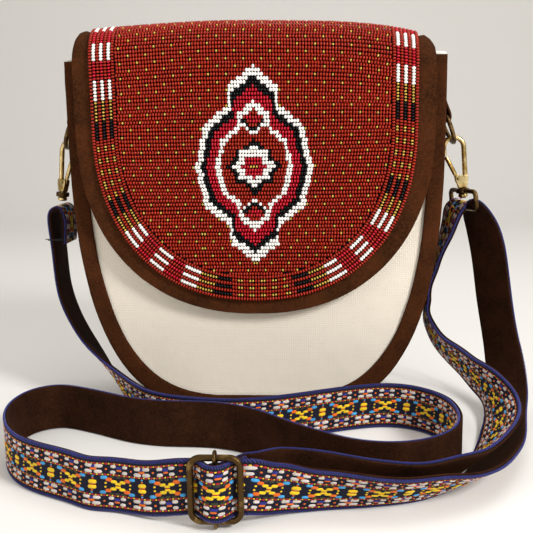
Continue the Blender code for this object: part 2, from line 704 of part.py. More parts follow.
def build_flap(finishes):
    suede, lining = finishes["suede"], finishes["lining"]
    hinge = (0, FLAP_HINGE_Y, FLAP_HINGE_Z)
    bead_start = BACK_RISE + ARC + CREST_LENGTH + FLAP_BEND * math.radians(BEAD_TOP_ANGLE)
    bead_top = BEAD_LEVEL + BEAD_HEIGHT
    flap_sheet("flap_lining", LINING_INSET, LINING_INSET, 0.0, 0.0, FLAP_LINING, lining)
    flap_sheet("flap_panel", 0.0, 0.0, 0.0, SUEDE_LEVEL, SUEDE_LEVEL + FLAP_SUEDE, suede)
    flap_sheet("bead_backing", BEAD_MARGIN, BEAD_MARGIN_BELOW, bead_start, FELT_LEVEL, FELT_LEVEL + FELT,
               finishes["felt"])
    flap_border("bead_border", BEAD_MARGIN, BEAD_MARGIN_BELOW, BORDER_WIDTH, bead_start, BEAD_LEVEL, bead_top,
                finishes["border"])
    grooves = bead_grooves(bead_start)
    field = flap_sheet("bead_field", FIELD_MARGIN, FIELD_MARGIN_BELOW, bead_start, BEAD_LEVEL, bead_top,
                       finishes["bead"], grooves)

    def place(a, b, depth):
        return Vector((a, depth, MEDALLION_CENTRE_Z + b))
    low = FLAP_FACE_Y - BEAD_LEVEL
    high = FLAP_FACE_Y - bead_top
    cutter = add_mesh("medallion_cut", *prism(medallion_outline(0.0), place, low + BEAD_HEIGHT, high - BEAD_HEIGHT),
                      None)
    combine(field, cutter, "DIFFERENCE")
    medallion = add_mesh("bead_medallion", *prism(medallion_outline(GAP), place, low, high), finishes["pale"], hinge)

    def across(a, b, depth):
        return Vector((depth, high + a, b))
    for groove in grooves:
        height = FRONT_START_Z - groove + FRONT_START
        if abs(height - MEDALLION_CENTRE_Z) > MEDALLION_HEIGHT / 2 - BEAD_ROW:
            continue
        wedge = [(BEAD_GROOVE, height), (-BEAD_GROOVE, height + 2 * BEAD_GROOVE_WIDTH),
                 (-BEAD_GROOVE, height - 2 * BEAD_GROOVE_WIDTH)]
        cutter = add_mesh("groove_cut", *prism(wedge, across, -MEDALLION_WIDTH, MEDALLION_WIDTH), None)
        combine(medallion, cutter, "DIFFERENCE")


def build_snap(finishes):
    brass = finishes["dark"]

    def place(a, b, depth):
        return Vector((a, depth, SNAP_Z + b))
    seat = FRONT_Y + GAP - puff_at(SNAP_PUFF_SHARE) - GAP
    mouth = seat - SOCKET_HEIGHT
    socket = add_mesh("snap_socket", *prism(polygon(SNAP_RADIUS, SNAP_SIDES), place, seat, mouth), brass)
    hole = add_mesh("snap_hole", *prism(polygon(SNAP_PIN_RADIUS + SNAP_PIN_PLAY, SNAP_SIDES), place,
                                        mouth + SNAP_PIN_LENGTH + GAP, mouth - SNAP_PIN_LENGTH), None)
    combine(socket, hole, "DIFFERENCE")
    hinge = (0, FLAP_HINGE_Y, FLAP_HINGE_Z)
    face = FLAP_FACE_Y + GAP
    plate = prism(polygon(SNAP_RADIUS, SNAP_SIDES), place, face, face + STUD_HEIGHT)
    stud = add_mesh("snap_stud", *plate, brass, hinge)
    pin = add_mesh("snap_pin", *prism(polygon(SNAP_PIN_RADIUS, SNAP_SIDES), place, face + STUD_HEIGHT / 2,
                                      face + STUD_HEIGHT + SNAP_PIN_LENGTH), None)
    combine(stud, pin, "UNION")


# Rings, tabs and hooks
def ribbon(name, rows, width_at, low, high, finish, origin=(0, 0, 0)):
    # A flat strip: rows hold centre, direction of one edge and the way it runs
    rings = []
    for place, (centre, run, edge) in enumerate(rows):
        run = Vector(run).normalized()
        edge = Vector(edge)
        edge = (edge - run * edge.dot(run)).normalized()
        face = run.cross(edge)
        half = width_at(place) / 2
        centre = Vector(centre)
        rings.append([centre + edge * half + face * low, centre + edge * half + face * high,
                      centre - edge * half + face * high, centre - edge * half + face * low])
    points, faces = loft(rings)
    broad = [face for face in faces if len(face) == 4]
    narrow_faces = []
    for a, b, c, d in broad[:-2]:
        # The two broad sides are divided along the same diagonal, so that layers stay parallel
        narrow_faces += [(a, b, c), (a, c, d)] if (a % 4) < 2 else [(b, c, d), (b, d, a)]
    return add_mesh(name, points, narrow_faces + broad[-2:], finish, origin)


TAB_WRAP_STEPS = 8
TAB_MEET_SHARES = [0.25, 0.6, 0.9, 1.0]


def ring_bar_x():
    seam = half_width_at(RING_BAR_Z) + GAP + TAB_THICK / 2
    return seam, seam + TAB_THICK / 2 + 2 * GAP + RING_WIRE


def build_ring(side, word, finishes):
    seam_x, bar_x = ring_bar_x()
    wrap = RING_WIRE + 2 * GAP + TAB_THICK / 2
    path = [(seam_x, TAB_TOP), (seam_x, TAB_MEET)]
    for i in range(TAB_WRAP_STEPS + 1):
        angle = math.pi + math.pi * i / TAB_WRAP_STEPS
        path.append((bar_x + wrap * math.cos(angle), RING_BAR_Z + wrap * math.sin(angle)))
    top_x = seam_x + TAB_THICK + GAP
    for share in TAB_MEET_SHARES:
        path.append((bar_x + wrap + (top_x - bar_x - wrap) * smooth_share(share),
                     RING_BAR_Z + (TAB_MEET - RING_BAR_Z) * share))
    path.append((top_x, TAB_TOP))
    rows = []
    for i, (x, z) in enumerate(path):
        before = path[max(0, i - 1)]
        after = path[min(len(path) - 1, i + 1)]
        rows.append(((side * x, 0, z), (side * (after[0] - before[0]), 0, after[1] - before[1]), (0, 1, 0)))
    ribbon("ring_tab_" + word, rows, lambda i: TAB_WIDTH, -TAB_THICK / 2, TAB_THICK / 2, finishes["suede"])
    tilt = math.radians(RING_TILT)
    half = RING_BAR_LENGTH / 2
    loop = [(-half, 0.0), (-half / 2, 0.0), (half / 2, 0.0), (half, 0.0)]
    for i in range(1, RING_STEPS):
        angle = math.pi * i / RING_STEPS
        loop.append((half * math.cos(angle), RING_REACH * math.sin(angle) ** RING_CURVE_POWER))
    path = [Vector((side * (bar_x + b * math.sin(tilt)), a, RING_BAR_Z - b * math.cos(tilt))) for a, b in loop]
    normal = (side * math.cos(tilt), 0, math.sin(tilt))
    add_mesh("d_ring_" + word, *tube(path, RING_WIRE, ROD_SIDES, True, normal), finishes["dark"],
             (side * bar_x, 0, RING_BAR_Z))
    return Vector((side * (bar_x + RING_REACH * math.sin(tilt)), 0, RING_BAR_Z - RING_REACH * math.cos(tilt)))


def hook_frame(side, seat):
    # Axes of a hook hung on its ring: u out from the bag, v up its stem, w through its thickness
    tilt = math.radians(HOOK_TILT)
    up = Vector((-side * math.sin(tilt), 0, math.cos(tilt)))
    out = Vector((side * math.cos(tilt), 0, math.sin(tilt)))
    yaw, shift, lift = (LEFT_HOOK_YAW, LEFT_HOOK_SHIFT, LEFT_HOOK_LIFT) if side < 0 else (0.0, 0.0, 0.0)
    contact_v = HOOK_BEND_V + HOOK_BEND - HOOK_WIRE - RING_WIRE - GAP - lift
    start = seat - out * (HOOK_BEND_U + shift) - up * contact_v
    yaw = math.radians(yaw)
    out = out * math.cos(yaw) + Vector((0, 1, 0)) * math.sin(yaw)
    return start, out, up, out.cross(up)


GATE_SHARES = [(0.0, 0.85), (0.08, 1.0), (0.5, 1.0), (0.92, 1.0), (1.0, 0.8)]


def build_hook(side, word, seat, finishes):
    start, out, up, through = hook_frame(side, seat)
    brass, dark = finishes["brass"], finishes["dark"]

    def at(u, v, w=0.0):
        return start + out * u + up * v + through * w

    def flat(a, b, depth):
        return at(a, b, depth)

    def upright(a, b, depth):
        return start + out * a + through * b + up * depth
    wire_u = BLOCK_TOP_RIGHT - HOOK_WIRE
    path = [(wire_u, BLOCK_HEIGHT / 2), (wire_u, BLOCK_HEIGHT + HOOK_WIRE)]
    top_u = HOOK_BEND_U + HOOK_BEND
    path += [(wire_u + (top_u - wire_u) * s, BLOCK_HEIGHT + (HOOK_BEND_V - BLOCK_HEIGHT) * s) for s in HOOK_RISE_SHARES]
    for i in range(HOOK_BEND_STEPS + 1):
        angle = math.pi * i / HOOK_BEND_STEPS
        path.append((HOOK_BEND_U + HOOK_BEND * math.cos(angle), HOOK_BEND_V + HOOK_BEND * math.sin(angle)))
    tip_u = HOOK_BEND_U - HOOK_BEND + HOOK_TIP_IN
    path.append((tip_u, HOOK_TIP_V))
    wire = tube([at(u, v) for u, v in path], HOOK_WIRE, WIRE_SIDES, False, through)
    body = add_mesh("hook_body_" + word, *wire, brass)
    block = [(-BLOCK_TOP_LEFT, BLOCK_HEIGHT), (-BLOCK_BOTTOM, 0.0), (BLOCK_BOTTOM, 0.0),
             (BLOCK_TOP_RIGHT, BLOCK_HEIGHT)]
    half = BLOCK_THICK / 2
    combine(body, add_mesh("block_" + word, *prism(block, flat, -half, half), None), "UNION")
    stem_low = -BOSS_HEIGHT - 2 * GAP
    stem = prism(polygon(STEM_RADIUS, STEM_SIDES), upright, stem_low - STEM_HEAD / 2, BLOCK_HEIGHT / 3)
    combine(body, add_mesh("stem_" + word, *stem, None), "UNION")
    head = prism(polygon(STEM_HEAD_RADIUS, STEM_SIDES), upright, stem_low - STEM_HEAD, stem_low)
    combine(body, add_mesh("head_" + word, *head, None), "UNION")
    slot_low = GATE_PIVOT_V - GATE_EYE - GAP
    slot_right = GATE_PIVOT_U + GATE_EYE + 2 * GAP
    slot_half = GATE_TANG / 2 + GAP
    slot = [(-2 * BLOCK_TOP_LEFT, slot_low), (slot_right, slot_low), (slot_right, 2 * BLOCK_HEIGHT),
            (-2 * BLOCK_TOP_LEFT, 2 * BLOCK_HEIGHT)]
    slot_cut = add_mesh("slot_" + word, *prism(slot, flat, -slot_half, slot_half), None)
    combine(body, slot_cut, "DIFFERENCE")

    def around(a, b, depth):
        return at(GATE_PIVOT_U + a, GATE_PIVOT_V + b, depth)
    pin_hole = prism(polygon(GATE_PIN_RADIUS + GAP, WIRE_SIDES), around, -BLOCK_THICK, BLOCK_THICK)
    combine(body, add_mesh("pin_hole_" + word, *pin_hole, None), "DIFFERENCE")
    add_mesh("gate_pin_" + word, *prism(polygon(GATE_PIN_RADIUS, WIRE_SIDES), around, -half, half), dark)
    pivot = at(GATE_PIVOT_U, GATE_PIVOT_V)
    lean = math.atan2(tip_u - GATE_PIVOT_U, HOOK_TIP_V - GATE_PIVOT_V)
    gate_end = math.hypot(tip_u - GATE_PIVOT_U, HOOK_TIP_V - GATE_PIVOT_V) - 3 * GAP
    gate_start = (BLOCK_HEIGHT - GATE_PIVOT_V) / math.cos(lean) + 3 * GAP
    rings = []
    gate_up = up * math.cos(lean) + out * math.sin(lean)
    gate_out = out * math.cos(lean) - up * math.sin(lean)
    for share, radius in GATE_SHARES:
        centre = pivot + gate_up * (gate_start + (gate_end - gate_start) * share)
        rings.append(circle_ring(centre, gate_out, through, GATE_WIRE * radius, WIRE_SIDES))
    gate = add_mesh("hook_gate_" + word, *loft(rings), brass, pivot)
    eye = [(GATE_EYE * math.cos(math.radians(a)), GATE_EYE * math.sin(math.radians(a)))
           for a in EYE_DEGREES]
    neck = gate_start + GATE_WIRE
    eye += [(GATE_WIRE * NECK_SHARE, neck), (-GATE_WIRE * NECK_SHARE, neck)]

    def tang(a, b, depth):
        return pivot + gate_out * a + gate_up * b + through * depth
    combine(gate, add_mesh("tang_" + word, *prism(eye, tang, -GATE_TANG / 2, GATE_TANG / 2), None), "UNION")
    eye_hole = prism(polygon(GATE_PIN_RADIUS + GAP, WIRE_SIDES), around, -GATE_TANG, GATE_TANG)
    combine(gate, add_mesh("eye_hole_" + word, *eye_hole, None), "DIFFERENCE")
    return start, up


def build_loop(side, word, start, up, finishes):
    # The swivel loop hangs on the stem's head and carries the strap
    turn = math.radians(RIGHT_LOOP_TURN) if side > 0 else 0.0
    long = Vector((math.sin(turn), -math.cos(turn), 0))
    long = (long - up * long.dot(up)).normalized()
    face = long.cross(up)
    top_v = -GAP - BOSS_HEIGHT / 2
    bottom_v = top_v - LOOP_DROP
    half_long = STRAP_WIDTH / 2 + 3 * SLIDER_PLAY + LOOP_WIRE
    half_tall = (top_v - bottom_v) / 2
    shape = rounded_rectangle(half_long, half_tall, LOOP_ROUND, CORNER_STEPS)
    middle = start + up * ((top_v + bottom_v) / 2)
    path = [middle + long * a + up * b for a, b in shape]
    loop = add_mesh("swivel_loop_" + word, *tube(path, LOOP_WIRE, ROD_SIDES, True, face), finishes["dark"])

    def upright(a, b, depth):
        return start + long * a + face * b + up * depth
    boss = prism(polygon(BOSS_RADIUS, BOSS_SIDES), upright, -GAP - BOSS_HEIGHT, -GAP)
    combine(loop, add_mesh("boss_" + word, *boss, None), "UNION")
    hole = prism(polygon(STEM_RADIUS + GAP, BOSS_SIDES), upright, -2 * BOSS_HEIGHT, BOSS_HEIGHT)
    combine(loop, add_mesh("boss_hole_" + word, *hole, None), "DIFFERENCE")
    return start + up * bottom_v


# Strap
def floor_rise(edge):
    # A strap that leans with this edge direction rests on the floor with its centre this high
    up = edge[2] / math.sqrt(sum(value * value for value in edge))
    return STRAP_WIDTH / 2 * up, STRAP_THICK / 2 * math.sqrt(1 - up * up) + 2 * GAP


def route_row(row, left_bar, right_bar):
    x_share, y_share, lift_share = row[:3]
    edge = row[3:]
    bar, bar_shares = (right_bar, RIGHT_BAR_SHARES) if x_share > 0 else (left_bar, LEFT_BAR_SHARES)
    x = abs(bar.x) * x_share / bar_shares[0]
    half_rise, edge_rise = floor_rise(edge)
    z = bar.z * lift_share / bar_shares[1] + half_rise + edge_rise * (1 - min(1.0, lift_share))
    return (x, STRAP_REACH * y_share, z, *edge)


SLIDER_HALF_TALL = STRAP_WIDTH / 2 + SLIDER_PLAY / 2 + SLIDER_WIRE
EYE_RADIUS = SLIDER_WIRE + GAP + EYE_WIRE
SLIDER_Z = EYE_RADIUS + EYE_WIRE + SLIDER_HALF_TALL
HALF_WINDOW = SLIDER_INNER_WIDTH / 2
WRAP_WIDTH_SHARE = 0.80


def slider_row(x_share, depth_share, lift_share=1.0, lean=0.0):
    rise = SLIDER_Z - STRAP_WIDTH / 2
    return (SLIDER_X + x_share * HALF_WINDOW, -STRAP_REACH - depth_share * STRAP_THICK,
            STRAP_WIDTH / 2 + rise * lift_share, 0, lean, 1)


def strap_rows(left_bar, right_bar):
    # Every row of the one strap, and the numbers of the rows where it is divided
    rows = [route_row(row, left_bar, right_bar) for row in LEFT_ROUTE_SHARES]
    marks = [len(rows) - 1]
    rows += [slider_row(*row) for row in APPROACH_SHARES]
    rows += [slider_row(*row) for row in HUMP_SHARES]
    rows += [slider_row(*row) for row in LEAVE_SHARES[:2]]
    marks.append(len(rows))
    rows += [slider_row(*row) for row in LEAVE_SHARES[2:]]
    rows += [route_row(row, left_bar, right_bar) for row in RIGHT_ROUTE_SHARES]
    marks.append(len(rows) - 1)
    rows += [slider_row(*row) for row in INNER_SHARES]
    rows += [slider_row(*row) for row in TAIL_SHARES[:1]]
    marks.append(len(rows) - 1)
    rows += [slider_row(*row) for row in TAIL_SHARES[1:]]
    wrap = BAR_RADIUS + GAP + STRAP_THICK / 2
    for angle in WRAP_DEGREES:
        a = math.radians(angle)
        rows.append((SLIDER_X + wrap * math.cos(a), -STRAP_REACH + BAR_SET_BACK - wrap * math.sin(a), SLIDER_Z,
                     0, 0, 1))
    rows += [slider_row(*row) for row in TAIL_END_SHARES]
    return rows, marks


def strap_piece(name, read, knots, first, last, finishes, narrow=False, tight=None):
    # One length of the strap in its two layers
    start = knots[first] + (GAP / 2 if first else 0.0)
    end = knots[last] - (GAP / 2 if last < len(knots) - 1 else 0.0)
    places = [start]
    while places[-1] < end:
        here = places[-1]
        value = read(here)[0]
        near = tight(value) if tight else False
        places.append(here + (STRAP_TIGHT_STEP if near else STRAP_STEP))
    places[-1] = end
    if len(places) > 2 and places[-1] - places[-2] < STRAP_TIGHT_STEP / 2:
        places.pop(-2)
    rows = []
    widths = []
    for place in places:
        value, slope = read(place)
        rows.append((value[:3], slope, value[3:]))
        beside = abs(value[0] - SLIDER_X) / HALF_WINDOW
        share = WRAP_WIDTH_SHARE + (1 - WRAP_WIDTH_SHARE) * smooth_share(beside - WRAP_TAPER_START) if narrow else 1.0
        widths.append(STRAP_WIDTH * share)
    ribbon(name + "_webbing", rows, lambda i: widths[i], GAP / 2, GAP / 2 + WEBBING, finishes["webbing"])
    ribbon(name + "_backing", rows, lambda i: widths[i], -GAP / 2 - BACKING, -GAP / 2, finishes["suede"])


def build_strap(left_bar, right_bar, finishes):
    rows, marks = strap_rows(left_bar, right_bar)
    read, knots = smooth_curve(rows)
    end = len(rows) - 1

    def by_loop(value):
        left_near = value[2] > left_bar.z - LOOP_ZONE_TURNS * LOOP_WIRE
        return left_near or (value[0] > 0 and value[2] > right_bar.z - LOOP_ZONE_TURNS / 2 * LOOP_WIRE)

    def by_slider(value):
        return abs(value[0] - SLIDER_X) < SLIDER_ZONE_SHARE * HALF_WINDOW
    strap_piece("strap_left", read, knots, 0, marks[0], finishes, tight=by_loop)
    strap_piece("strap_adjuster", read, knots, marks[0], marks[1], finishes, tight=by_slider)
    strap_piece("strap_right", read, knots, marks[1], marks[2], finishes, tight=by_loop)
    strap_piece("strap_slack", read, knots, marks[2], marks[3], finishes)
    strap_piece("strap_end", read, knots, marks[3], end, finishes, narrow=True, tight=by_slider)
    low = read(knots[0])[0]
    tack_z = low[2] + TACK_RISE
    place = knots[TACK_ROW]
    while read(place)[0][2] > tack_z:
        place += STRAP_TIGHT_STEP / 4
    high = read(place)[0]
    inner = low[0] - STRAP_THICK / 2 - GAP
    outer = high[0] + STRAP_THICK / 2 + GAP

    def across(a, b, depth):
        return Vector((depth, a, tack_z + b))
    add_mesh("strap_tack", *prism(polygon(TACK_RADIUS, THIN_SIDES), across, outer, inner), finishes["thread"])


def build_slider(finishes):
    centre = Vector((SLIDER_X, -STRAP_REACH, SLIDER_Z))
    shape = rounded_rectangle(HALF_WINDOW + SLIDER_WIRE, SLIDER_HALF_TALL, SLIDER_ROUND, CORNER_STEPS)
    path = [centre + Vector((a, 0, b)) for a, b in shape]
    add_mesh("slider_frame", *tube(path, SLIDER_WIRE, WIRE_SIDES, True, (0, -1, 0)), finishes["dark"], centre)
    bar_y = centre.y + BAR_SET_BACK

    def upright(a, b, depth):
        return Vector((SLIDER_X + a, bar_y + b, SLIDER_Z + depth))
    reach = SLIDER_HALF_TALL - math.sqrt(EYE_RADIUS ** 2 - BAR_SET_BACK ** 2) + EYE_WIRE / 4
    bar = add_mesh("slider_bar", *prism(polygon(BAR_RADIUS, WIRE_SIDES), upright, -reach, reach), finishes["dark"],
                   centre)
    for sign, word in ((1, "upper"), (-1, "lower")):
        eye_centre = centre + Vector((0, 0, sign * SLIDER_HALF_TALL))
        ring = [eye_centre + Vector((0, a, b)) for a, b in polygon(EYE_RADIUS, STEM_SIDES)]
        combine(bar, add_mesh("eye_" + word, *tube(ring, EYE_WIRE, THIN_SIDES, True, (1, 0, 0)), None), "UNION")


def build():
    clear_scene()
    finishes = {
        "suede": material("brown_suede", SUEDE_BROWN, 0.95),
        "canvas": material("natural_canvas", CANVAS_WHITE, 0.9),
        "lining": material("cotton_lining", CANVAS_WHITE, 0.9),
        "felt": material("bead_felt", FELT_BLACK, 0.95),
        "bead": material("dark_red_beads", BEAD_RED, 0.3),
        "border": material("border_beads", BEAD_BORDER, 0.3),
        "pale": material("pale_beads", BEAD_PALE, 0.3),
        "brass": material("polished_brass", BRASS, 0.3, 1.0),
        "dark": material("antique_brass", DARK_BRASS, 0.4, 1.0),
        "webbing": material("woven_webbing", STRAP_NAVY, 0.85),
        "thread": material("black_thread", THREAD_BLACK, 0.8),
    }
    build_body(finishes)
    build_flap(finishes)
    build_snap(finishes)
    bars = {}
    for side, word in ((-1, "left"), (1, "right")):
        seat = build_ring(side, word, finishes)
        start, up = build_hook(side, word, seat, finishes)
        bars[word] = build_loop(side, word, start, up, finishes)
    build_slider(finishes)
    build_strap(bars["left"], bars["right"], finishes)


build()
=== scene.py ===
# Beaded crossbody bag: suede body, canvas front, beaded flap, brass fittings and a woven strap.
import math
import random
import bpy
import bmesh
import numpy as np
from mathutils import Matrix, Vector, noise


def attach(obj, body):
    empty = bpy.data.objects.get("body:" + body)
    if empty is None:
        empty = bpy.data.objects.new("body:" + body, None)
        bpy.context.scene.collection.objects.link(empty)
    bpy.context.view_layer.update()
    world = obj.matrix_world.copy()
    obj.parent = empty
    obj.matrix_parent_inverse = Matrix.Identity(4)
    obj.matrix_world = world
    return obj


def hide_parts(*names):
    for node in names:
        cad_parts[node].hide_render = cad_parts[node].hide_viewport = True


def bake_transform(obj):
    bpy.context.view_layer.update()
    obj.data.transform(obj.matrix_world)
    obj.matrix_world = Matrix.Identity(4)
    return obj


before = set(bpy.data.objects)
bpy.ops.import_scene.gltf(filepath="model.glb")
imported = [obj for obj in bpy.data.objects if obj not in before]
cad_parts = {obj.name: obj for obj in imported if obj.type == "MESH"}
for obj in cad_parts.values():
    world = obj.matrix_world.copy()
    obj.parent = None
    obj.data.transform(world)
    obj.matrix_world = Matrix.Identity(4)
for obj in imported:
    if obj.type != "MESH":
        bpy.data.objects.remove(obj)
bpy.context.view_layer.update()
random.seed(11)
print("frame loaded")


# Colours, nodes and pieces
def linear(hexValue):
    out = []
    for i in (1, 3, 5):
        part = int(hexValue[i:i + 2], 16) / 255
        out.append(part / 12.92 if part <= 0.04045 else ((part + 0.055) / 1.055) ** 2.4)
    return (*out, 1.0)


def shaded(hexValue, shade):
    # one bead's or stitch's own shade of its colour
    red, green, blue, _ = linear(hexValue)
    return (min(1, red * shade), min(1, green * shade), min(1, blue * shade), 1.0)


def addNode(tree, kind, inputs=(), **settings):
    node = tree.nodes.new(kind)
    for name, value in settings.items():
        setattr(node, name, value)
    for name, value in dict(inputs).items():
        if isinstance(value, bpy.types.NodeSocket):
            tree.links.new(value, node.inputs[name])
        else:
            node.inputs[name].default_value = value
    return node


def startMaterial(name, roughness, metallic=0.0, extras=()):
    mat = bpy.data.materials.new(name)
    mat.use_nodes = True
    shader = mat.node_tree.nodes["Principled BSDF"]
    for key, value in {"Roughness": roughness, "Metallic": metallic, **dict(extras)}.items():
        shader.inputs[key].default_value = value
    return mat, mat.node_tree, shader


def addObject(name, data):
    added = bpy.data.objects.new(name, data)
    bpy.context.scene.collection.objects.link(added)
    return added


def settle(piece, body, replaced=()):
    if body:
        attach(piece, body)
    if replaced:
        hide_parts(*replaced)
    return piece


def placeMesh(name, mesh, material, body, replaced):
    mesh.materials.append(material)
    return settle(addObject(name, mesh), body, replaced)


def makePiece(name, points, faces, material, body, replaced=(), sharp=50.0):
    mesh = bpy.data.meshes.new(name)
    mesh.from_pydata([tuple(p) for p in points], [], faces)
    shape = bmesh.new()
    shape.from_mesh(mesh)
    bmesh.ops.recalc_face_normals(shape, faces=shape.faces)
    shape.to_mesh(mesh)
    shape.free()
    mesh.shade_smooth()
    mesh.set_sharp_from_angle(angle=math.radians(sharp))
    return placeMesh(name, mesh, material, body, replaced)


def repeated(name, shapePoints, shapeFaces, placed, colours, material, body, replaced=()):
    # placed holds every copy's points; each copy has one colour of its own
    count = len(shapePoints)
    faces = [tuple(i + k * count for i in face) for k in range(len(placed)) for face in shapeFaces]
    mesh = bpy.data.meshes.new(name)
    mesh.from_pydata(placed.reshape(-1, 3).tolist(), [], faces)
    mesh.shade_smooth()
    tint = mesh.color_attributes.new("tint", "FLOAT_COLOR", "POINT")
    tint.data.foreach_set("color", np.repeat(np.array(colours, dtype=np.float32), count, axis=0).ravel())
    return placeMesh(name, mesh, material, body, replaced)


def loftFaces(rings, count, closedPath=False):
    faces = []
    for i in range(rings if closedPath else rings - 1):
        a, b = i * count, ((i + 1) % rings) * count
        faces += [(a + j, a + (j + 1) % count, b + (j + 1) % count, b + j) for j in range(count)]
    if not closedPath:
        faces.append(tuple(range(count - 1, -1, -1)))
        faces.append(tuple(range((rings - 1) * count, rings * count)))
    return faces


# Finishes, all worked out from noise and waves
suede = {"dark": "#291406", "mid": "#41210D", "worn": "#583018", "patch": 0.016, "nap": 0.0011, "fibre": 0.00035,
         "strapDark": "#1B0C04", "strapMid": "#2F180B", "strapWorn": "#432412", "relief": 0.0002}
canvas = {"warp": "#E9E1D3", "weft": "#DACFBE", "thread": 0.0011, "slub": 0.006, "wander": 0.0006,
          "relief": 0.00025}
lining = {"warp": "#F0EBE2", "weft": "#E0D8CB", "thread": 0.0008}
yarn = {"felt": 0.0007, "floats": 0.0005, "edge": 0.0004, "sewing": 0.0003, "relief": 0.00015}
brass = {"bright": "#E9D29A", "deep": "#B08C48", "dark": "#4E3B22", "rubbed": "#7E643C", "scratch": 0.0006,
         "relief": 0.0001}
webbing = {"low": "#08070C", "high": "#1B1B36", "pick": 0.0014, "warp": 0.0012, "relief": 0.0003}


def ownSpace(tree):
    return addNode(tree, "ShaderNodeTexCoord").outputs["Object"]


def ownTint(tree):
    return addNode(tree, "ShaderNodeAttribute", attribute_name="tint").outputs["Color"]


def noiseAt(tree, place, scale, detail, roughness=0.5, output="Fac"):
    inputs = {"Vector": place, "Scale": scale, "Detail": detail, "Roughness": roughness}
    return addNode(tree, "ShaderNodeTexNoise", inputs).outputs[output]


def spread(tree, value, low, high, toLow=0.0, toHigh=1.0):
    inputs = {"Value": value, "From Min": low, "From Max": high, "To Min": toLow, "To Max": toHigh}
    return addNode(tree, "ShaderNodeMapRange", inputs).outputs["Result"]


def reckon(tree, operation, *values, kind="ShaderNodeMath"):
    return addNode(tree, kind, dict(enumerate(values)), operation=operation).outputs[0]


def mixed(tree, share, low, high, way="MIX"):
    inputs = {0: share, 6: low, 7: high}
    return addNode(tree, "ShaderNodeMix", inputs, data_type="RGBA", blend_type=way).outputs[2]


def crossedWaves(tree, place, *waves):
    # two sines multiplied: above zero where the warp lies on top, below where the weft does
    split = addNode(tree, "ShaderNodeSeparateXYZ", {0: place})
    sines = [reckon(tree, "SINE", reckon(tree, "MULTIPLY", split.outputs[axis], 2 * math.pi / length))
             for axis, length in waves]
    return reckon(tree, "MULTIPLY", *sines)


def dress(tree, shader, colour, height, strength, relief):
    tree.links.new(colour, shader.inputs["Base Color"])
    bump = addNode(tree, "ShaderNodeBump", {"Height": height, "Strength": strength, "Distance": relief})
    tree.links.new(bump.outputs["Normal"], shader.inputs["Normal"])


def suedeMaterial(name, darkHex, midHex, wornHex):
    # Split cowhide brushed to a nap: matt, soft sheen, cloudy where fibres lie different ways
    extras = {"Sheen Weight": 0.05, "Sheen Roughness": 0.5, "Sheen Tint": linear("#8A5426"),
              "Specular IOR Level": 0.08}
    mat, tree, shader = startMaterial(name, 0.96, extras=extras)
    place = ownSpace(tree)
    cloud = noiseAt(tree, place, 1 / suede["patch"], 5, 0.62)
    nap = noiseAt(tree, place, 1 / suede["nap"], 3, 0.7)
    fibre = noiseAt(tree, place, 1 / suede["fibre"], 2)
    base = mixed(tree, spread(tree, cloud, 0.36, 0.66), linear(darkHex), linear(midHex))
    colour = mixed(tree, spread(tree, nap, 0.42, 0.72, 0.0, 0.55), base, linear(wornHex))
    dress(tree, shader, colour, reckon(tree, "ADD", nap, fibre), 0.55, suede["relief"])
    return mat


def canvasMaterial(name, thread, warpHex, weftHex):
    # Plain-woven cotton: over and under threads, slubs, quite matt
    mat, tree, shader = startMaterial(name, 0.9, extras={"Sheen Weight": 0.08, "Specular IOR Level": 0.2})
    place = ownSpace(tree)
    wobble = noiseAt(tree, place, 90.0, 2, output="Color")
    shift = reckon(tree, "MULTIPLY", wobble, (canvas["wander"],) * 3, kind="ShaderNodeVectorMath")
    bent = reckon(tree, "ADD", place, shift, kind="ShaderNodeVectorMath")
    checker = crossedWaves(tree, bent, ("X", 2 * thread), ("Z", 2 * thread))
    slub = noiseAt(tree, place, 1 / canvas["slub"], 4, 0.7)
    weave = mixed(tree, spread(tree, checker, -1.0, 1.0, 0.25, 0.75), linear(warpHex), linear(weftHex))
    colour = mixed(tree, spread(tree, slub, 0.3, 0.75, 0.0, 0.45), weave, linear(weftHex))
    height = reckon(tree, "ADD", reckon(tree, "ABSOLUTE", checker), slub)
    dress(tree, shader, colour, height, 0.5, canvas["relief"])
    return mat


def beadMaterial(name):
    # Opaque glass seed beads: solid colour under a satin gloss
    mat, tree, shader = startMaterial(name, 0.3, extras={"Specular IOR Level": 0.3})
    tree.links.new(ownTint(tree), shader.inputs["Base Color"])
    return mat


def yarnMaterial(name, roughness, twist):
    # Spun yarn in one colour per float, with a fine twist along it
    mat, tree, shader = startMaterial(name, roughness, extras={"Sheen Weight": 0.15, "Specular IOR Level": 0.3})
    fibres = noiseAt(tree, ownSpace(tree), 1 / twist, 3)
    colour = mixed(tree, 1.0, ownTint(tree), spread(tree, fibres, 0.3, 0.7, 0.72, 1.12), "MULTIPLY")
    dress(tree, shader, colour, fibres, 0.4, yarn["relief"])
    return mat


def brassMaterial(name, face, hollow, roughness, wear):
    # Cast brass: face is the rubbed metal, hollow the tarnish that stays between the rubs
    mat, tree, shader = startMaterial(name, roughness, 1.0)
    place = ownSpace(tree)
    stain = noiseAt(tree, place, 160.0, 3)
    colour = mixed(tree, spread(tree, stain, 0.5 - wear, 0.62), linear(hollow), linear(face))
    fine = noiseAt(tree, place, 1 / brass["scratch"], 3)
    gloss = spread(tree, fine, 0.3, 0.7, roughness * 0.75, roughness * 1.4)
    tree.links.new(gloss, shader.inputs["Roughness"])
    dress(tree, shader, colour, fine, 0.15, brass["relief"])
    return mat


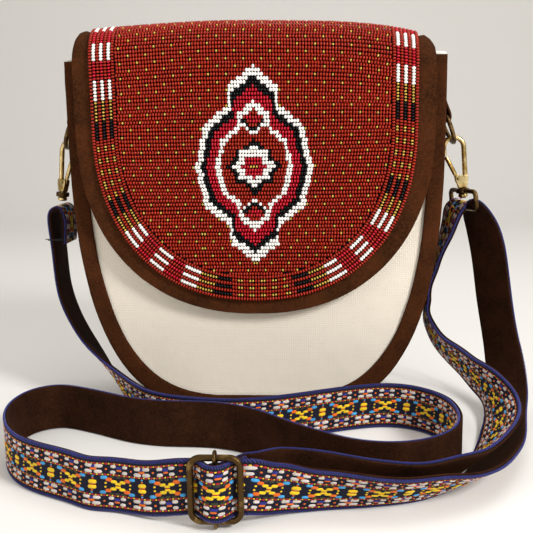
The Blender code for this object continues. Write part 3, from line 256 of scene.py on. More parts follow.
def webbingMaterial(name):
    # Tight warp-faced ground of the jacquard band, ribbed across, navy and black
    mat, tree, shader = startMaterial(name, 0.85, extras={"Specular IOR Level": 0.25})
    place = addNode(tree, "ShaderNodeUVMap", uv_map="cloth").outputs["UV"]
    weave = crossedWaves(tree, place, ("X", webbing["pick"]), ("Y", webbing["warp"]))
    colour = mixed(tree, spread(tree, weave, -0.6, 0.9), linear(webbing["low"]), linear(webbing["high"]))
    dress(tree, shader, colour, weave, 0.6, webbing["relief"])
    return mat


suedeBrown = suedeMaterial("brushedSuede", suede["dark"], suede["mid"], suede["worn"])
suedeStrap = suedeMaterial("strapSuede", suede["strapDark"], suede["strapMid"], suede["strapWorn"])
cottonCanvas = canvasMaterial("cottonCanvas", canvas["thread"], canvas["warp"], canvas["weft"])
cottonLining = canvasMaterial("cottonLining", lining["thread"], lining["warp"], lining["weft"])
woolFelt = yarnMaterial("darkFelt", 0.97, yarn["felt"])
seedBeads = beadMaterial("glassSeedBeads")
weftYarn = yarnMaterial("cottonFloats", 0.75, yarn["floats"])
edgeYarn = yarnMaterial("overlockYarn", 0.7, yarn["edge"])
sewingThread = yarnMaterial("sewingThread", 0.7, yarn["sewing"])
brightBrass = brassMaterial("brightBrass", brass["bright"], brass["deep"], 0.26, 0.16)
darkBrass = brassMaterial("antiqueBrass", brass["rubbed"], brass["dark"], 0.4, -0.02)
bandGround = webbingMaterial("wovenBand")
print("finishes made")

# Camera, light and floor
view = {"place": (0.0311, -0.4927, 0.1686), "down": 9.9, "turn": 3.16, "roll": -0.89, "focalPixels": 806.0,
        "imagePixels": 533.0, "sensor": 36.0, "near": 0.01}


def placeCamera():
    down, turn, roll = (math.radians(view[k]) for k in ("down", "turn", "roll"))
    ahead = Vector((-math.sin(turn) * math.cos(down), math.cos(turn) * math.cos(down), -math.sin(down)))
    right = ahead.cross(Vector((0, 0, 1))).normalized()
    above = right.cross(ahead)
    cosRoll, sinRoll = math.cos(roll), math.sin(roll)
    right, above = right * cosRoll + above * sinRoll, above * cosRoll - right * sinRoll
    data = bpy.data.cameras.new("photoCamera")
    data.sensor_width = view["sensor"]
    data.lens = view["sensor"] * view["focalPixels"] / view["imagePixels"]
    data.clip_start = view["near"]
    camera = addObject("photoCamera", data)
    turned = Matrix((right, above, -ahead)).transposed().to_4x4()
    camera.matrix_world = Matrix.Translation(view["place"]) @ turned
    bpy.context.scene.camera = camera


lamps = [("keyLamp", (0.85, -0.75, 0.75), 0.32, 16.0), ("fillLamp", (-0.9, -0.9, 0.6), 1.4, 7.5),
         ("topLamp", (0.1, 0.1, 1.3), 1.0, 6.0)]
studio = {"aim": (0, -0.06, 0.1), "air": "#F4F1EC", "airStrength": 0.45, "paperLow": "#E4E1DC",
          "paperHigh": "#EAE7E2", "grain": 900.0, "halfWidth": 5.0, "flat": (-2.2, -0.6, 0.3, 0.9), "bend": 0.6,
          "bendSteps": 12, "height": 2.6}


def lightStudio():
    for name, place, size, power in lamps:
        data = bpy.data.lights.new(name, "AREA")
        data.size = size
        data.energy = power
        lamp = addObject(name, data)
        lamp.location = place
        lamp.rotation_euler = (Vector(studio["aim"]) - Vector(place)).to_track_quat("-Z", "Y").to_euler()
    world = bpy.data.worlds.new("studioAir")
    world.use_nodes = True
    world.node_tree.nodes["Background"].inputs["Color"].default_value = linear(studio["air"])
    world.node_tree.nodes["Background"].inputs["Strength"].default_value = studio["airStrength"]
    bpy.context.scene.world = world
    bpy.context.scene.view_settings.view_transform = "Standard"


def layFloor():
    # One sweep of pale paper: flat, then curved up into a wall
    rows = [(y, 0.0) for y in studio["flat"]]
    bendStart, bend, steps = studio["flat"][-1], studio["bend"], studio["bendSteps"]
    for i in range(1, steps + 1):
        angle = math.pi / 2 * i / steps
        rows.append((bendStart + bend * math.sin(angle), bend * (1 - math.cos(angle))))
    rows.append((bendStart + bend, studio["height"]))
    points = [(x, y, z) for y, z in rows for x in (-studio["halfWidth"], studio["halfWidth"])]
    faces = [(2 * i, 2 * i + 1, 2 * i + 3, 2 * i + 2) for i in range(len(rows) - 1)]
    mat, tree, shader = startMaterial("palePaper", 0.95)
    grain = noiseAt(tree, ownSpace(tree), studio["grain"], 2)
    tone = mixed(tree, grain, linear(studio["paperLow"]), linear(studio["paperHigh"]))
    tree.links.new(tone, shader.inputs["Base Color"])
    mesh = bpy.data.meshes.new("paperSweep")
    mesh.from_pydata(points, [], faces)
    mesh.shade_smooth()
    mesh.materials.append(mat)
    floor = addObject("paperSweep", mesh)


placeCamera()
lightStudio()
layFloor()
print("camera, light and floor set")


# Tools for modelling
def activate(*pieces):
    # select these pieces and nothing else, the first one active
    if bpy.context.mode != "OBJECT":
        bpy.ops.object.mode_set(mode="OBJECT")
    bpy.ops.object.select_all(action="DESELECT")
    for piece in pieces:
        piece.select_set(True)
    if pieces:
        bpy.context.view_layer.objects.active = pieces[0]


def openWhole():
    # edit the active piece with all of it selected
    bpy.ops.object.mode_set(mode="EDIT")
    bpy.ops.mesh.select_all(action="SELECT")


def faceOut():
    # turn the selected faces outwards and leave edit mode
    bpy.ops.mesh.normals_make_consistent(inside=False)
    bpy.ops.object.mode_set(mode="OBJECT")


def takePlace(piece):
    # leave the piece at the origin, its place in its mesh
    activate(piece)
    bpy.ops.object.transform_apply(location=True, rotation=True, scale=True)


def modify(piece, kind, **settings):
    activate(piece)
    bpy.ops.object.modifier_add(type=kind)
    modifier = piece.modifiers[-1]
    for name, value in settings.items():
        setattr(modifier, name, value)
    bpy.ops.object.modifier_apply(modifier=modifier.name)


def roundEdges(piece, width, segments=2, limit=35.0):
    modify(piece, "BEVEL", width=width, segments=segments, limit_method="ANGLE", angle_limit=math.radians(limit))


def cutWith(piece, cutter):
    modify(piece, "BOOLEAN", operation="DIFFERENCE", solver="EXACT", object=cutter)
    bpy.data.objects.remove(cutter)


def joinParts(parts):
    activate(*parts)
    bpy.ops.object.join()
    return bpy.context.view_layer.objects.active


def takeMesh(piece):
    # the points and faces of a shape that is laid many times
    points = np.array([tuple(v.co) for v in piece.data.vertices])
    faces = [tuple(f.vertices) for f in piece.data.polygons]
    bpy.data.objects.remove(piece)
    return points, faces


def finishPiece(piece, name, material, body, replaced=()):
    takePlace(piece)
    openWhole()
    faceOut()
    bpy.ops.object.shade_smooth_by_angle(angle=math.radians(40.0))
    piece.name = piece.data.name = name
    piece.data.materials.clear()
    piece.data.materials.append(material)
    return settle(piece, body, replaced)


def pushedOut(corners, push):
    # a flat part: a circle's points moved to its corners, then pushed out to its thickness
    activate()
    bpy.ops.mesh.primitive_circle_add(vertices=len(corners), radius=1, fill_type="NGON")
    piece = bpy.context.object
    for vertex, corner in zip(piece.data.vertices, corners):
        vertex.co = corner
    openWhole()
    bpy.ops.mesh.extrude_region_move(TRANSFORM_OT_translate={"value": push})
    bpy.ops.mesh.select_all(action="SELECT")
    faceOut()
    return piece


def roundedLoop(halfWide, side, corner):
    # a closed loop's moves, from the middle of its first long side
    turn = (90, corner)
    return [(halfWide - corner,), turn, (side,), turn, (2 * (halfWide - corner),), turn, (side,), turn,
            (halfWide - corner,)]


def bentRod(start, heading, normal, radius, moves, closed=False, sides=16, tip=0.0):
    # A rod drawn by straight runs and bends in the plane square to normal; a positive bend turns left
    place, heading, normal = Vector(start), Vector(heading).normalized(), Vector(normal).normalized()
    activate()
    bpy.ops.mesh.primitive_circle_add(vertices=sides, radius=radius, location=place, enter_editmode=True,
                                      rotation=heading.to_track_quat("Z", "Y").to_euler())
    rod = bpy.context.object
    for move in moves:
        if len(move) == 1:
            bpy.ops.mesh.extrude_region_move(TRANSFORM_OT_translate={"value": heading * move[0]})
            place = place + heading * move[0]
        else:
            turn, bend = math.radians(move[0]), move[1]
            way = 1 if turn > 0 else -1
            centre = place + normal.cross(heading) * (bend * way)
            bpy.ops.mesh.spin(steps=max(2, round(abs(move[0]) / 11)), angle=-turn, center=centre, axis=normal)
            turned = Matrix.Rotation(turn, 3, normal)
            place = centre + turned @ (place - centre)
            heading = turned @ heading
    bpy.ops.mesh.select_all(action="SELECT")
    if closed:
        bpy.ops.mesh.remove_doubles(threshold=radius * 0.15)
    else:
        bpy.ops.mesh.fill_holes(sides=0)
    faceOut()
    takePlace(rod)
    if tip:
        roundEdges(rod, tip, 3, 60.0)
    return rod


def disc(centre, axis, radius, height, bevel, sides=40, dish=0.0, dishRadius=0.0):
    # A turned disc from centre along axis, its rims rounded, its top dished where asked
    axis = Vector(axis).normalized()
    activate()
    bpy.ops.mesh.primitive_cylinder_add(vertices=sides, radius=radius, depth=height,
                                        location=Vector(centre) + axis * (height / 2),
                                        rotation=axis.to_track_quat("Z", "Y").to_euler())
    piece = bpy.context.object
    takePlace(piece)
    if dish:
        bpy.ops.object.mode_set(mode="EDIT")
        bpy.ops.mesh.select_all(action="DESELECT")
        shape = bmesh.from_edit_mesh(piece.data)
        for face in shape.faces:
            above = (face.calc_center_median() - Vector(centre)).dot(axis)
            face.select = len(face.verts) > 4 and above > height / 2
        bmesh.update_edit_mesh(piece.data)
        bpy.ops.mesh.inset(thickness=radius - dishRadius, depth=0)
        bpy.ops.mesh.inset(thickness=dish, depth=-dish)
        bpy.ops.object.mode_set(mode="OBJECT")
    roundEdges(piece, bevel, 3, 30.0)
    return piece


def soften(piece, amount, size, seed=0.0):
    # hand-made unevenness: every vertex shifts a little along its normal
    for vertex in piece.data.vertices:
        lift = noise.noise(vertex.co / size + Vector((seed, seed, seed)))
        vertex.co += vertex.normal * (lift * amount)


def smoothShare(value):
    value = min(1.0, max(0.0, value))
    return value * value * (3 - 2 * value)


# Suede body; the pairs are the front and back face of each layer
body = {"half": 0.10735, "depth": 0.030, "top": 0.206, "roundStart": 0.172, "sidePower": 2.6, "footPower": 3.5,
        "footSink": 0.0006, "sideSteps": 10, "footSteps": 46, "suede": 0.002, "gap": 0.0003, "binding": 0.0018,
        "bindingWidth": 0.0095, "puff": 0.0035, "centreShare": 0.55, "puckers": 26, "pucker": 0.00022,
        "gussetRound": 0.0006, "liningRound": 0.0003, "plateRound": 0.0002, "lining": 0.0007, "closeSteps": 24,
        "grain": 0.012, "uneven": 0.0002, "gussetUneven": 0.0004, "canvasUneven": 0.00025, "canvasGrain": 0.03,
        "canvas": (-0.0297, -0.0260), "frontLining": (-0.0257, -0.0250), "gussetLining": (-0.0247, 0.0267),
        "backLining": (0.0270, 0.0277), "backPanel": (0.0280, 0.0297)}


def bodyEdge(inset, top=body["top"]):
    # half widths and heights from the top left, round the foot, to the top right
    right = []
    for i in range(body["sideSteps"]):
        height = top + (body["roundStart"] - top) * i / body["sideSteps"]
        right.append((body["half"] - inset, height))
    depth = body["roundStart"] + body["footSink"] - inset
    last = math.asin(((body["roundStart"] - inset) / depth) ** (body["sidePower"] / 2))
    for i in range(body["footSteps"] // 2 + 1):
        angle = last * i / (body["footSteps"] // 2)
        right.append(((body["half"] - inset) * math.cos(angle) ** (2 / body["footPower"]),
                      body["roundStart"] - depth * math.sin(angle) ** (2 / body["sidePower"])))
    return [(-x, z) for x, z in right] + right[::-1]


def roundedSection(lowY, highY, bend):
    # places across the thickness (0 outer, 1 inner) and through the depth, corners rounded
    mid = [lowY + bend + (highY - lowY - 2 * bend) * i / 8 for i in range(9)]
    points = [(0.0, y) for y in mid] + [(0.12, highY - bend * 0.3), (0.3, highY)]
    points += [(0.7, highY), (0.88, highY - bend * 0.3)] + [(1.0, y) for y in mid[::-1]]
    points += [(0.88, lowY + bend * 0.3), (0.7, lowY), (0.3, lowY), (0.12, lowY + bend * 0.3)]
    return points


def edgeStrip(name, outerInset, innerInset, section, material, replaced, top=body["top"],
              rough=body["uneven"]):
    points = []
    for (ax, az), (bx, bz) in zip(bodyEdge(outerInset, top), bodyEdge(innerInset, top)):
        points += [(ax + (bx - ax) * t, y, az + (bz - az) * t) for t, y in section]
    faces = loftFaces(len(points) // len(section), len(section))
    piece = makePiece(name, points, faces, material, "bag", replaced, 60.0)
    if rough:
        soften(piece, rough, body["grain"])


def flatSection(front, back):
    # a broad band lying flat: rounded at its outer and inner edges, faintly domed on its front
    across = [0.0, 0.02, 0.06, 0.15, 0.35, 0.6, 0.8, 0.93, 0.98, 1.0]
    drop = [0.6, 0.25, 0.08, 0.0, 0.0, 0.02, 0.06, 0.14, 0.3, 0.6]
    return ([(t, front + (back - front) * d) for t, d in zip(across, drop)] +
            [(t, back) for t in (0.99, 0.7, 0.35, 0.01)])


def plate(name, inset, front, back, material, slot, replaced, top):
    piece = pushedOut([(x, back, z) for x, z in bodyEdge(inset, top)], (0, front - back, 0))
    roundEdges(piece, body["plateRound"])
    finishPiece(piece, name, material, "bag", replaced)


def makeCanvasFront():
    # padded canvas: swells from its seam under the binding, with faint pulls towards the seam
    shares = [1.0, 0.975, 0.955, 0.94, 0.925, 0.91, 0.89, 0.86, 0.82, 0.76, 0.68, 0.58, 0.46, 0.34, 0.22, 0.1]
    edge = bodyEdge(body["suede"] + body["gap"], body["top"] - body["gap"])
    first, last, steps = edge[0], edge[-1], body["closeSteps"]
    edge += [(last[0] + (first[0] - last[0]) * i / steps, last[1]) for i in range(1, steps)]
    centreZ = body["top"] * body["centreShare"]
    flat, rear = body["canvas"]
    points = []
    count = len(edge)
    for share in shares:
        puff = body["puff"] * max(0.0, 1 - (share / 0.9) ** 3)
        for j, (x, z) in enumerate(edge):
            pull = body["pucker"] * math.sin(j / count * 2 * math.pi * body["puckers"] + 2 * math.sin(j * 0.13))
            pull *= max(0.0, 1 - abs(share - 0.88) / 0.16)
            points.append((x * share, flat - puff + pull, centreZ + (z - centreZ) * share))
    tip, rearStart = len(points), len(points) + 1
    points.append((0, flat - body["puff"], centreZ))
    points += [(x, rear, z) for x, z in edge]
    around = [(j, (j + 1) % count) for j in range(count)]
    faces = [(a + j, a + k, a + count + k, a + count + j)
             for a in range(0, tip - count, count) for j, k in around]
    faces += [(tip - count + j, tip - count + k, tip) for j, k in around]
    faces += [(j, k, rearStart + k, rearStart + j) for j, k in around]
    faces.append(tuple(range(rearStart, rearStart + count)))
    piece = makePiece("canvasFront", points, faces, cottonCanvas, "bag",
                      ("front_panel", "front_padding"))
    soften(piece, body["canvasUneven"], body["canvasGrain"])


def makeBody():
    half, gap, inside, bound = body["depth"], body["gap"], body["suede"] + body["gap"], body["bindingWidth"]
    edgeStrip("gussetStrip", 0.0, body["suede"], roundedSection(-half + gap, half - gap, body["gussetRound"]),
              suedeBrown, ("gusset",), rough=body["gussetUneven"])
    edgeStrip("frontBinding", 0.0, bound, flatSection(-half - body["binding"], -half), suedeBrown,
              ("front_binding",))
    edgeStrip("backBinding", 0.0, bound, flatSection(half + body["binding"], half), suedeBrown,
              ("back_binding",), body["top"] - bound)
    edgeStrip("gussetLining", inside, inside + body["lining"],
              roundedSection(*body["gussetLining"], body["liningRound"]), cottonLining,
              ("gusset_lining",), rough=0.0)
    plate("frontLining", inside, *body["frontLining"], cottonLining, "cotton_lining", ("front_lining",),
          body["top"] - gap)
    plate("backPanel", inside, *body["backPanel"], suedeBrown, "brown_suede", ("back_panel",), body["top"])
    plate("backLining", inside, *body["backLining"], cottonLining, "cotton_lining", ("back_lining",),
          body["top"])
    makeCanvasFront()


hem = {"radius": 0.0013, "x": 0.1005, "y": -0.0290, "z": 0.2067, "along": 0.0033, "bend": 0.0022, "back": 0.0515,
       "uneven": 0.0005, "grain": 0.004}


def makeHems():
    # the lining's rolled white hem over the open top of each side
    for side, word in ((-1, "Left"), (1, "Right")):
        roll = bentRod((side * hem["x"], hem["y"], hem["z"]), (side, 0, 0), (0, 0, 1), hem["radius"],
                       [(hem["along"],), (side * 90, hem["bend"]), (hem["back"],)], sides=12)
        finishPiece(roll, "hemRoll" + word, cottonLining, "bag")
        soften(roll, hem["uneven"], hem["grain"], side)


makeBody()
makeHems()
print("suede body, bindings, linings, hems and canvas front made")

# Flap; lining, suede, felt and beads hold each layer's inner and outer height
flap = {"half": 0.1005, "bottom": 0.0617, "roundStart": 0.168, "power": 2.25, "bend": 0.0135, "backY": 0.0297,
        "hingeZ": 0.2063, "rise": 0.0015, "faceY": -0.0368, "crestZ": 0.2213, "crest": 0.0395, "arch": 0.0063,
        "archPower": 3.2, "archLean": 0.54, "droop": 0.0045, "droopPower": 56.0, "droopLean": 0.33,
        "hump": 0.0011, "humpAt": -0.2, "humpWide": 0.36, "edgeLift": 0.0022, "archFade": 0.046,
        "lining": (0.0, 0.0006), "suede": (0.0009, 0.0023), "felt": (0.0026, 0.0032), "beads": (0.0035, 0.0052),
        "liningIn": 0.0012, "feltIn": 0.0097, "feltBelow": 0.008, "uneven": 0.0002, "grain": 0.02}
flap["arc"] = flap["bend"] * math.pi / 2
flap["frontStart"] = flap["rise"] + 2 * flap["arc"] + flap["crest"]
flap["frontZ"] = flap["crestZ"] - flap["bend"]


def onFlap(x, along, out):
    # a point at x, along the flap from its back seam, out from its inner face
    bend, rise, arc, crest = flap["bend"], flap["rise"], flap["arc"], flap["crest"]
    if along <= rise:
        y, z, outY, outZ = flap["backY"], flap["hingeZ"] + along, 1.0, 0.0
    elif along <= rise + arc:
        angle = (along - rise) / bend
        outY, outZ = math.cos(angle), math.sin(angle)
        y, z = flap["backY"] - bend + bend * outY, flap["frontZ"] + bend * outZ
    elif along <= rise + arc + crest:
        y, z, outY, outZ = flap["backY"] - bend - (along - rise - arc), flap["crestZ"], 0.0, 1.0
    elif along <= flap["frontStart"]:
        angle = math.pi / 2 + (along - rise - arc - crest) / bend
        outY, outZ = math.cos(angle), math.sin(angle)
        y, z = flap["faceY"] + bend + bend * outY, flap["frontZ"] + bend * outZ
    else:
        y, z, outY, outZ = flap["faceY"], flap["frontZ"] - (along - flap["frontStart"]), -1.0, 0.0
    lift = smoothShare((along - rise) / arc) * (1 - smoothShare((along - flap["frontStart"]) / flap["archFade"]))
    aside = min(1.0, abs(x) / flap["half"])
    side = math.copysign(1, x)
    sag = flap["arch"] * (1 + flap["archLean"] * side) * aside ** flap["archPower"]
    sag += flap["droop"] * aside ** (flap["droopPower"] * (1 - flap["droopLean"] * side))
    sag -= flap["hump"] * math.exp(-((x / flap["half"] - flap["humpAt"]) / flap["humpWide"]) ** 2)
    sag -= flap["edgeLift"] * smoothShare((aside - 0.895) / 0.045)
    return Vector((x, y + outY * out, z + outZ * out - sag * lift))


def flapSide(margin, below, start, straightSteps, roundSteps):
    # half width and place along, from start down to the middle of the bottom edge
    half = flap["half"] - margin
    depth = flap["roundStart"] - flap["bottom"] - below
    straightEnd = flap["frontStart"] + flap["frontZ"] - flap["roundStart"]
    rows = [(half, start + (straightEnd - start) * i / straightSteps) for i in range(straightSteps)]
    for i in range(roundSteps + 1):
        angle = math.pi / 2 * i / roundSteps
        rows.append((half * max(0.0, math.cos(angle)) ** (2 / flap["power"]),
                     straightEnd + depth * math.sin(angle) ** (2 / flap["power"])))
    return rows


def flapLayer(name, margin, below, start, low, high, material, slot, replaced, rough=0.0):
    rows = flapSide(margin, below, start, 40, 40)[:-1]
    columns = [math.sin(math.pi / 2 * (i / 14)) for i in range(-14, 15)]
    points = []
    for out in (low, high):
        for width, along in rows:
            points += [onFlap(width * share, along, out) for share in columns]
    count, block = len(columns), len(rows) * len(columns)
    faces = []
    for side in (0, block):
        for r in range(len(rows) - 1):
            a = side + r * count
            faces += [(a + j, a + j + 1, a + count + j + 1, a + count + j) for j in range(count - 1)]
    rim = list(range(count)) + [r * count + count - 1 for r in range(1, len(rows))]
    rim += [(len(rows) - 1) * count + j for j in range(count - 2, -1, -1)]
    rim += [r * count for r in range(len(rows) - 2, 0, -1)]
    faces += [(a, b, block + b, block + a) for a, b in zip(rim, rim[1:] + rim[:1])]
    piece = makePiece(name, points, faces, material, "flap", replaced)
    roundEdges(piece, (high - low) * 0.3, 2, 50.0)
    if rough:
        soften(piece, rough, flap["grain"])


beadStart = flap["rise"] + flap["arc"] + flap["crest"] + flap["bend"] * math.radians(4)
flapLayer("flapLining", flap["liningIn"], flap["liningIn"], 0.0, *flap["lining"], cottonLining, "cotton_lining",
          ("flap_lining",))
flapLayer("flapSuede", 0.0, 0.0, 0.0, *flap["suede"], suedeBrown, "brown_suede", ("flap_panel",), flap["uneven"])
flapLayer("beadFelt", flap["feltIn"], flap["feltBelow"], beadStart, *flap["felt"], woolFelt, "bead_felt",
          ("bead_backing",))
print("flap layers made")

# Beads
beads = {"pitch": 0.00163, "row": 0.0021, "radius": 0.00101, "length": 0.00122, "round": 0.00042, "margin": 0.0097,
         "below": 0.008, "lanes": 7, "goldEvery": 6, "medallionHalf": 0.0329, "medallionTall": 0.0545,
         "medallionZ": 0.1463, "jitter": 0.05, "shift": 0.0012, "probe": 0.0004, "look": 0.0005,
         "wander": 0.0005, "ahead": {-1: 1, 1: 6}, "steps": (60, 200)}
beadColours = {"red": "#971E05", "crimson": "#B00A20", "gold": "#CBAA48", "black": "#080608", "white": "#EFECE6"}
# half of the border from the top down, in beads
borderPattern = [("white", 6), ("crimson", 6), ("white", 6), ("crimson", 6), ("white", 6), ("gold", 6),
                 ("black", 6), ("pairs", 20), ("black", 6), ("gold", 6), ("white", 6), ("crimson", 6),
                 ("white", 6), ("crimson", 6), ("white", 6), ("gold", 6), ("black", 6), ("pairs", 40)]
beadSize = {"red": 1.0, "crimson": 1.0, "gold": 0.72, "black": 0.82, "white": 1.06}
beadStretch = {"red": 1.0, "crimson": 1.0, "gold": 0.8, "black": 0.85, "white": 1.27}


def modelBead():
    # one seed bead along X: a short cylinder with rounded rims
    activate()
    bpy.ops.mesh.primitive_cylinder_add(vertices=8, radius=beads["radius"], depth=beads["length"],
                                        rotation=(0, math.radians(90), 0))
    bead = bpy.context.object
    takePlace(bead)
    roundEdges(bead, beads["round"], 1, 60.0)
    return takeMesh(bead)


beadPoints, beadFaces = modelBead()


def layBeads(name, laid, replaced=()):
    # laid holds x, along, direction on the flap and colour word for every bead
    placed = np.zeros((len(laid), len(beadPoints), 3))
    colours = []
    middle = sum(flap["beads"]) / 2
    for k, (x, along, dx, dAlong, word) in enumerate(laid):
        step = beads["probe"]
        here = onFlap(x, along, middle)
        run = (onFlap(x + dx * step, along + dAlong * step, middle) - here).normalized()
        out = (onFlap(x, along, middle + step) - here).normalized()
        out = (out - run * out.dot(run)).normalized()
        across = out.cross(run)
        tilt = Matrix.Rotation(random.uniform(-1, 1) * beads["jitter"], 3, out)
        run, across = tilt @ run, tilt @ across
        size = beadSize[word] * random.uniform(0.95, 1.05)
        axes = np.array([run, across, out])
        shift = np.array(here + across * (random.uniform(-1, 1) * beads["jitter"] * beads["shift"]))
        placed[k] = (beadPoints * (beadStretch[word], size, size * 0.9)) @ axes + shift
        colours.append(shaded(beadColours[word], random.uniform(0.86, 1.1)))
    return repeated(name, beadPoints, beadFaces, placed, colours, seedBeads, "flap", replaced)


def borderWord(index, lane):
    if lane % 2 == 0:
        return "red"
    for word, count in borderPattern:
        if index < count:
            if word == "pairs":
                return "gold" if index % 4 > 1 else "red"
            return word
        index -= count
    return "red"


def trueSteps(path):
    # length run along the beads' own middle surface, not along the lining
    spots = [onFlap(width, along, sum(flap["beads"]) / 2) for width, along in path]
    return np.cumsum([0] + [(b - a).length for a, b in zip(spots, spots[1:])])


def layBorder():
    laid = []
    laneMargin, look = beads["row"] * 3.5, beads["look"]
    guide = flapSide(beads["margin"] + laneMargin, beads["below"] + laneMargin, beadStart, *beads["steps"])
    guideSteps = trueSteps(guide)
    for lane in range(beads["lanes"]):
        inset = beads["row"] * (lane + 0.5)
        path = flapSide(beads["margin"] + inset, beads["below"] + inset, beadStart, *beads["steps"])
        steps = trueSteps(path)
        path = np.array(path)
        count = int(steps[-1] / beads["pitch"])
        for side in (-1, 1):
            for i in range(count + (1 if side > 0 else 0)):
                place = (i + 0.5) * steps[-1] / (count + 0.5)
                width, along = (np.interp(place, steps, path[:, c]) for c in (0, 1))
                ahead, aheadAlong = (np.interp(place + look, steps, path[:, c]) for c in (0, 1))
                if i == count:
                    ahead, aheadAlong = width + look, along
                index = int(np.interp(place, steps, guideSteps) / beads["pitch"])
                index += beads["ahead"][side]
                run = (side * (ahead - width) / look, (aheadAlong - along) / look)
                laid.append((side * width, along, *run, borderWord(index, lane)))
    return laid


medallionShares = [(0.0, 1.0), (0.42, 0.80), (0.42, 0.62), (0.84, 0.42), (1.0, 0.0)]


def medallionReach(x, z):
    # 0 at the middle of the medallion, 1 on its stepped outline
    u, v = abs(x) / beads["medallionHalf"], abs(z) / beads["medallionTall"]
    if u + v < 1e-6:
        return 0.0
    for (au, av), (bu, bv) in zip(medallionShares, medallionShares[1:]):
        if u * av - v * au >= -1e-9 and u * bv - v * bu <= 1e-9:
            eu, ev = bu - au, bv - av
            return (u * ev - v * eu) / (au * ev - av * eu)
    return 2.0


def medallionWord(x, z):
    reach = medallionReach(x, z)
    if reach > 1.0:
        return None
    ax, az = abs(x) * 1000, abs(z) * 1000
    starOuter = max(ax, az) < 8.4 or ax + az < 12.6
    starInner = max(ax, az) < 4.6 or ax + az < 6.8
    if starInner:
        return "gold" if ax + az < 2.4 else "crimson"
    if starOuter:
        return "white"
    if max(ax, az) < 10.4 or ax + az < 15.8:
        return "black"
    for share, word in ((0.90, "white"), (0.81, "black"), (0.66, "crimson"), (0.58, "white")):
        if reach > share:
            return word
    chevron = az - 17 - ax * 0.9
    if 0 < chevron < 4.2:
        return "white" if chevron < 2.1 else "black"
    if 6.3 < chevron < 10:
        return "crimson"
    return "red"


def layField():
    # horizontal rows inside the border; the medallion is worked into them
    upper, lower, medallion = [], [], []
    inset = beads["row"] * beads["lanes"]
    edge = np.array(flapSide(beads["margin"] + inset, beads["below"] + inset, beadStart, *beads["steps"]))
    downSteps = trueSteps([(0.0, along) for along in edge[:, 1]])
    rows = round(downSteps[-1] / beads["row"])
    for r in range(rows):
        along = float(np.interp(downSteps[-1] * (r + 0.5) / rows, downSteps, edge[:, 1]))
        half = float(np.interp(along, edge[:, 1], edge[:, 0]))
        # every row starts and ends at its own place, so the beads of two rows don't line up
        first, last = (random.uniform(-0.1, 0.45) * beads["pitch"] for _ in range(2))
        count = int((2 * half - first - last) / beads["pitch"] + 0.5)
        pitch = (2 * half - first - last) / max(1, count)
        for i in range(count):
            x = first - half + (i + 0.5 + random.uniform(-0.04, 0.04)) * pitch
            wander = beads["wander"] * noise.noise(Vector((x * 16, r * 0.21, 3.0)))
            z = flap["frontZ"] - (along - flap["frontStart"])
            word = medallionWord(x, z - beads["medallionZ"])
            if word:
                medallion.append((x, along + wander, 1, 0, word))
                continue
            start = 3 if (r // 2) % 2 else 0
            gold = r % 2 == 0 and (round(x / beads["pitch"]) + start) % beads["goldEvery"] == 0
            spot = (x, along + wander, 1, 0, "gold" if gold else "red")
            (upper if z > beads["medallionZ"] else lower).append(spot)
    return upper, lower, medallion


layBeads("borderBeads", layBorder(), ("bead_border",))
fieldUpper, fieldLower, medallionLaid = layField()
for half, laid in (("Upper", fieldUpper), ("Lower", fieldLower)):
    layBeads("fieldBeads" + half, laid, ("bead_field",))
layBeads("medallionBeads", medallionLaid, ("bead_medallion",))
print("beads laid:", len(fieldUpper) + len(fieldLower) + len(medallionLaid), "in the field and medallion")

# Magnetic snap
snap = {"z": 0.084, "radius": 0.0088, "socketBack": -0.0334, "socketFront": -0.0349, "studBack": -0.0365,
        "studHeight": 0.0006, "dish": 0.0008, "dishWide": 0.0045, "pin": 0.0022, "pinLength": 0.0011,
        "bevel": 0.0004, "studBevel": 0.0002}


def makeSnap():
    socket = disc((0, snap["socketBack"], snap["z"]), (0, -1, 0), snap["radius"],
                  snap["socketBack"] - snap["socketFront"], snap["bevel"], 48, snap["dish"], snap["dishWide"])
    finishPiece(socket, "snapSocket", darkBrass, "bag", ("snap_socket",))
    plateDisc = disc((0, snap["studBack"], snap["z"]), (0, 1, 0), snap["radius"], snap["studHeight"],
                     snap["studBevel"], 48)
    pin = disc((0, snap["studBack"] + snap["studHeight"] * 0.5, snap["z"]), (0, 1, 0), snap["pin"],
               snap["pinLength"] + snap["studHeight"] * 0.5, snap["bevel"], 24)
    finishPiece(joinParts([plateDisc, pin]), "snapStud", darkBrass, "flap", ("snap_stud",))


makeSnap()
print("magnetic snap made")

# Side tabs and rings
ring = {"barX": 0.11095, "barZ": 0.172, "half": 0.012, "reach": 0.016, "wire": 0.0013, "tilt": 22.0,
        "corner": 0.0022, "tabWidth": 0.018, "tabThick": 0.0013, "tabTop": 0.198, "tabMeet": 0.184,
        "seamX": 0.1084, "gap": 0.0003, "tabStep": 0.0012, "tabRound": 0.0003}


def stripPiece(name, rows, section, material, body, replaced):
    # a strip along rows of centre, run and edge direction; section holds places across and through it
    points = []
    for centre, run, edge in rows:
        run = Vector(run).normalized()
        edge = (Vector(edge) - run * Vector(edge).dot(run)).normalized()
        face = run.cross(edge)
        points += [Vector(centre) + edge * a + face * b for a, b in section]
    return makePiece(name, points, loftFaces(len(rows), len(section)), material, body, replaced)


def softRectangle(halfWide, low, high, bend, steps=6):
    wide = [-halfWide + bend + 2 * (halfWide - bend) * i / steps for i in range(steps + 1)]
    near = bend * 0.3
    side = [(halfWide - near, low + near), (halfWide, low + bend), (halfWide, high - bend),
            (halfWide - near, high - near)]
    return ([(a, low) for a in wide] + side + [(a, high) for a in wide[::-1]] + [(-a, b) for a, b in side[::-1]])


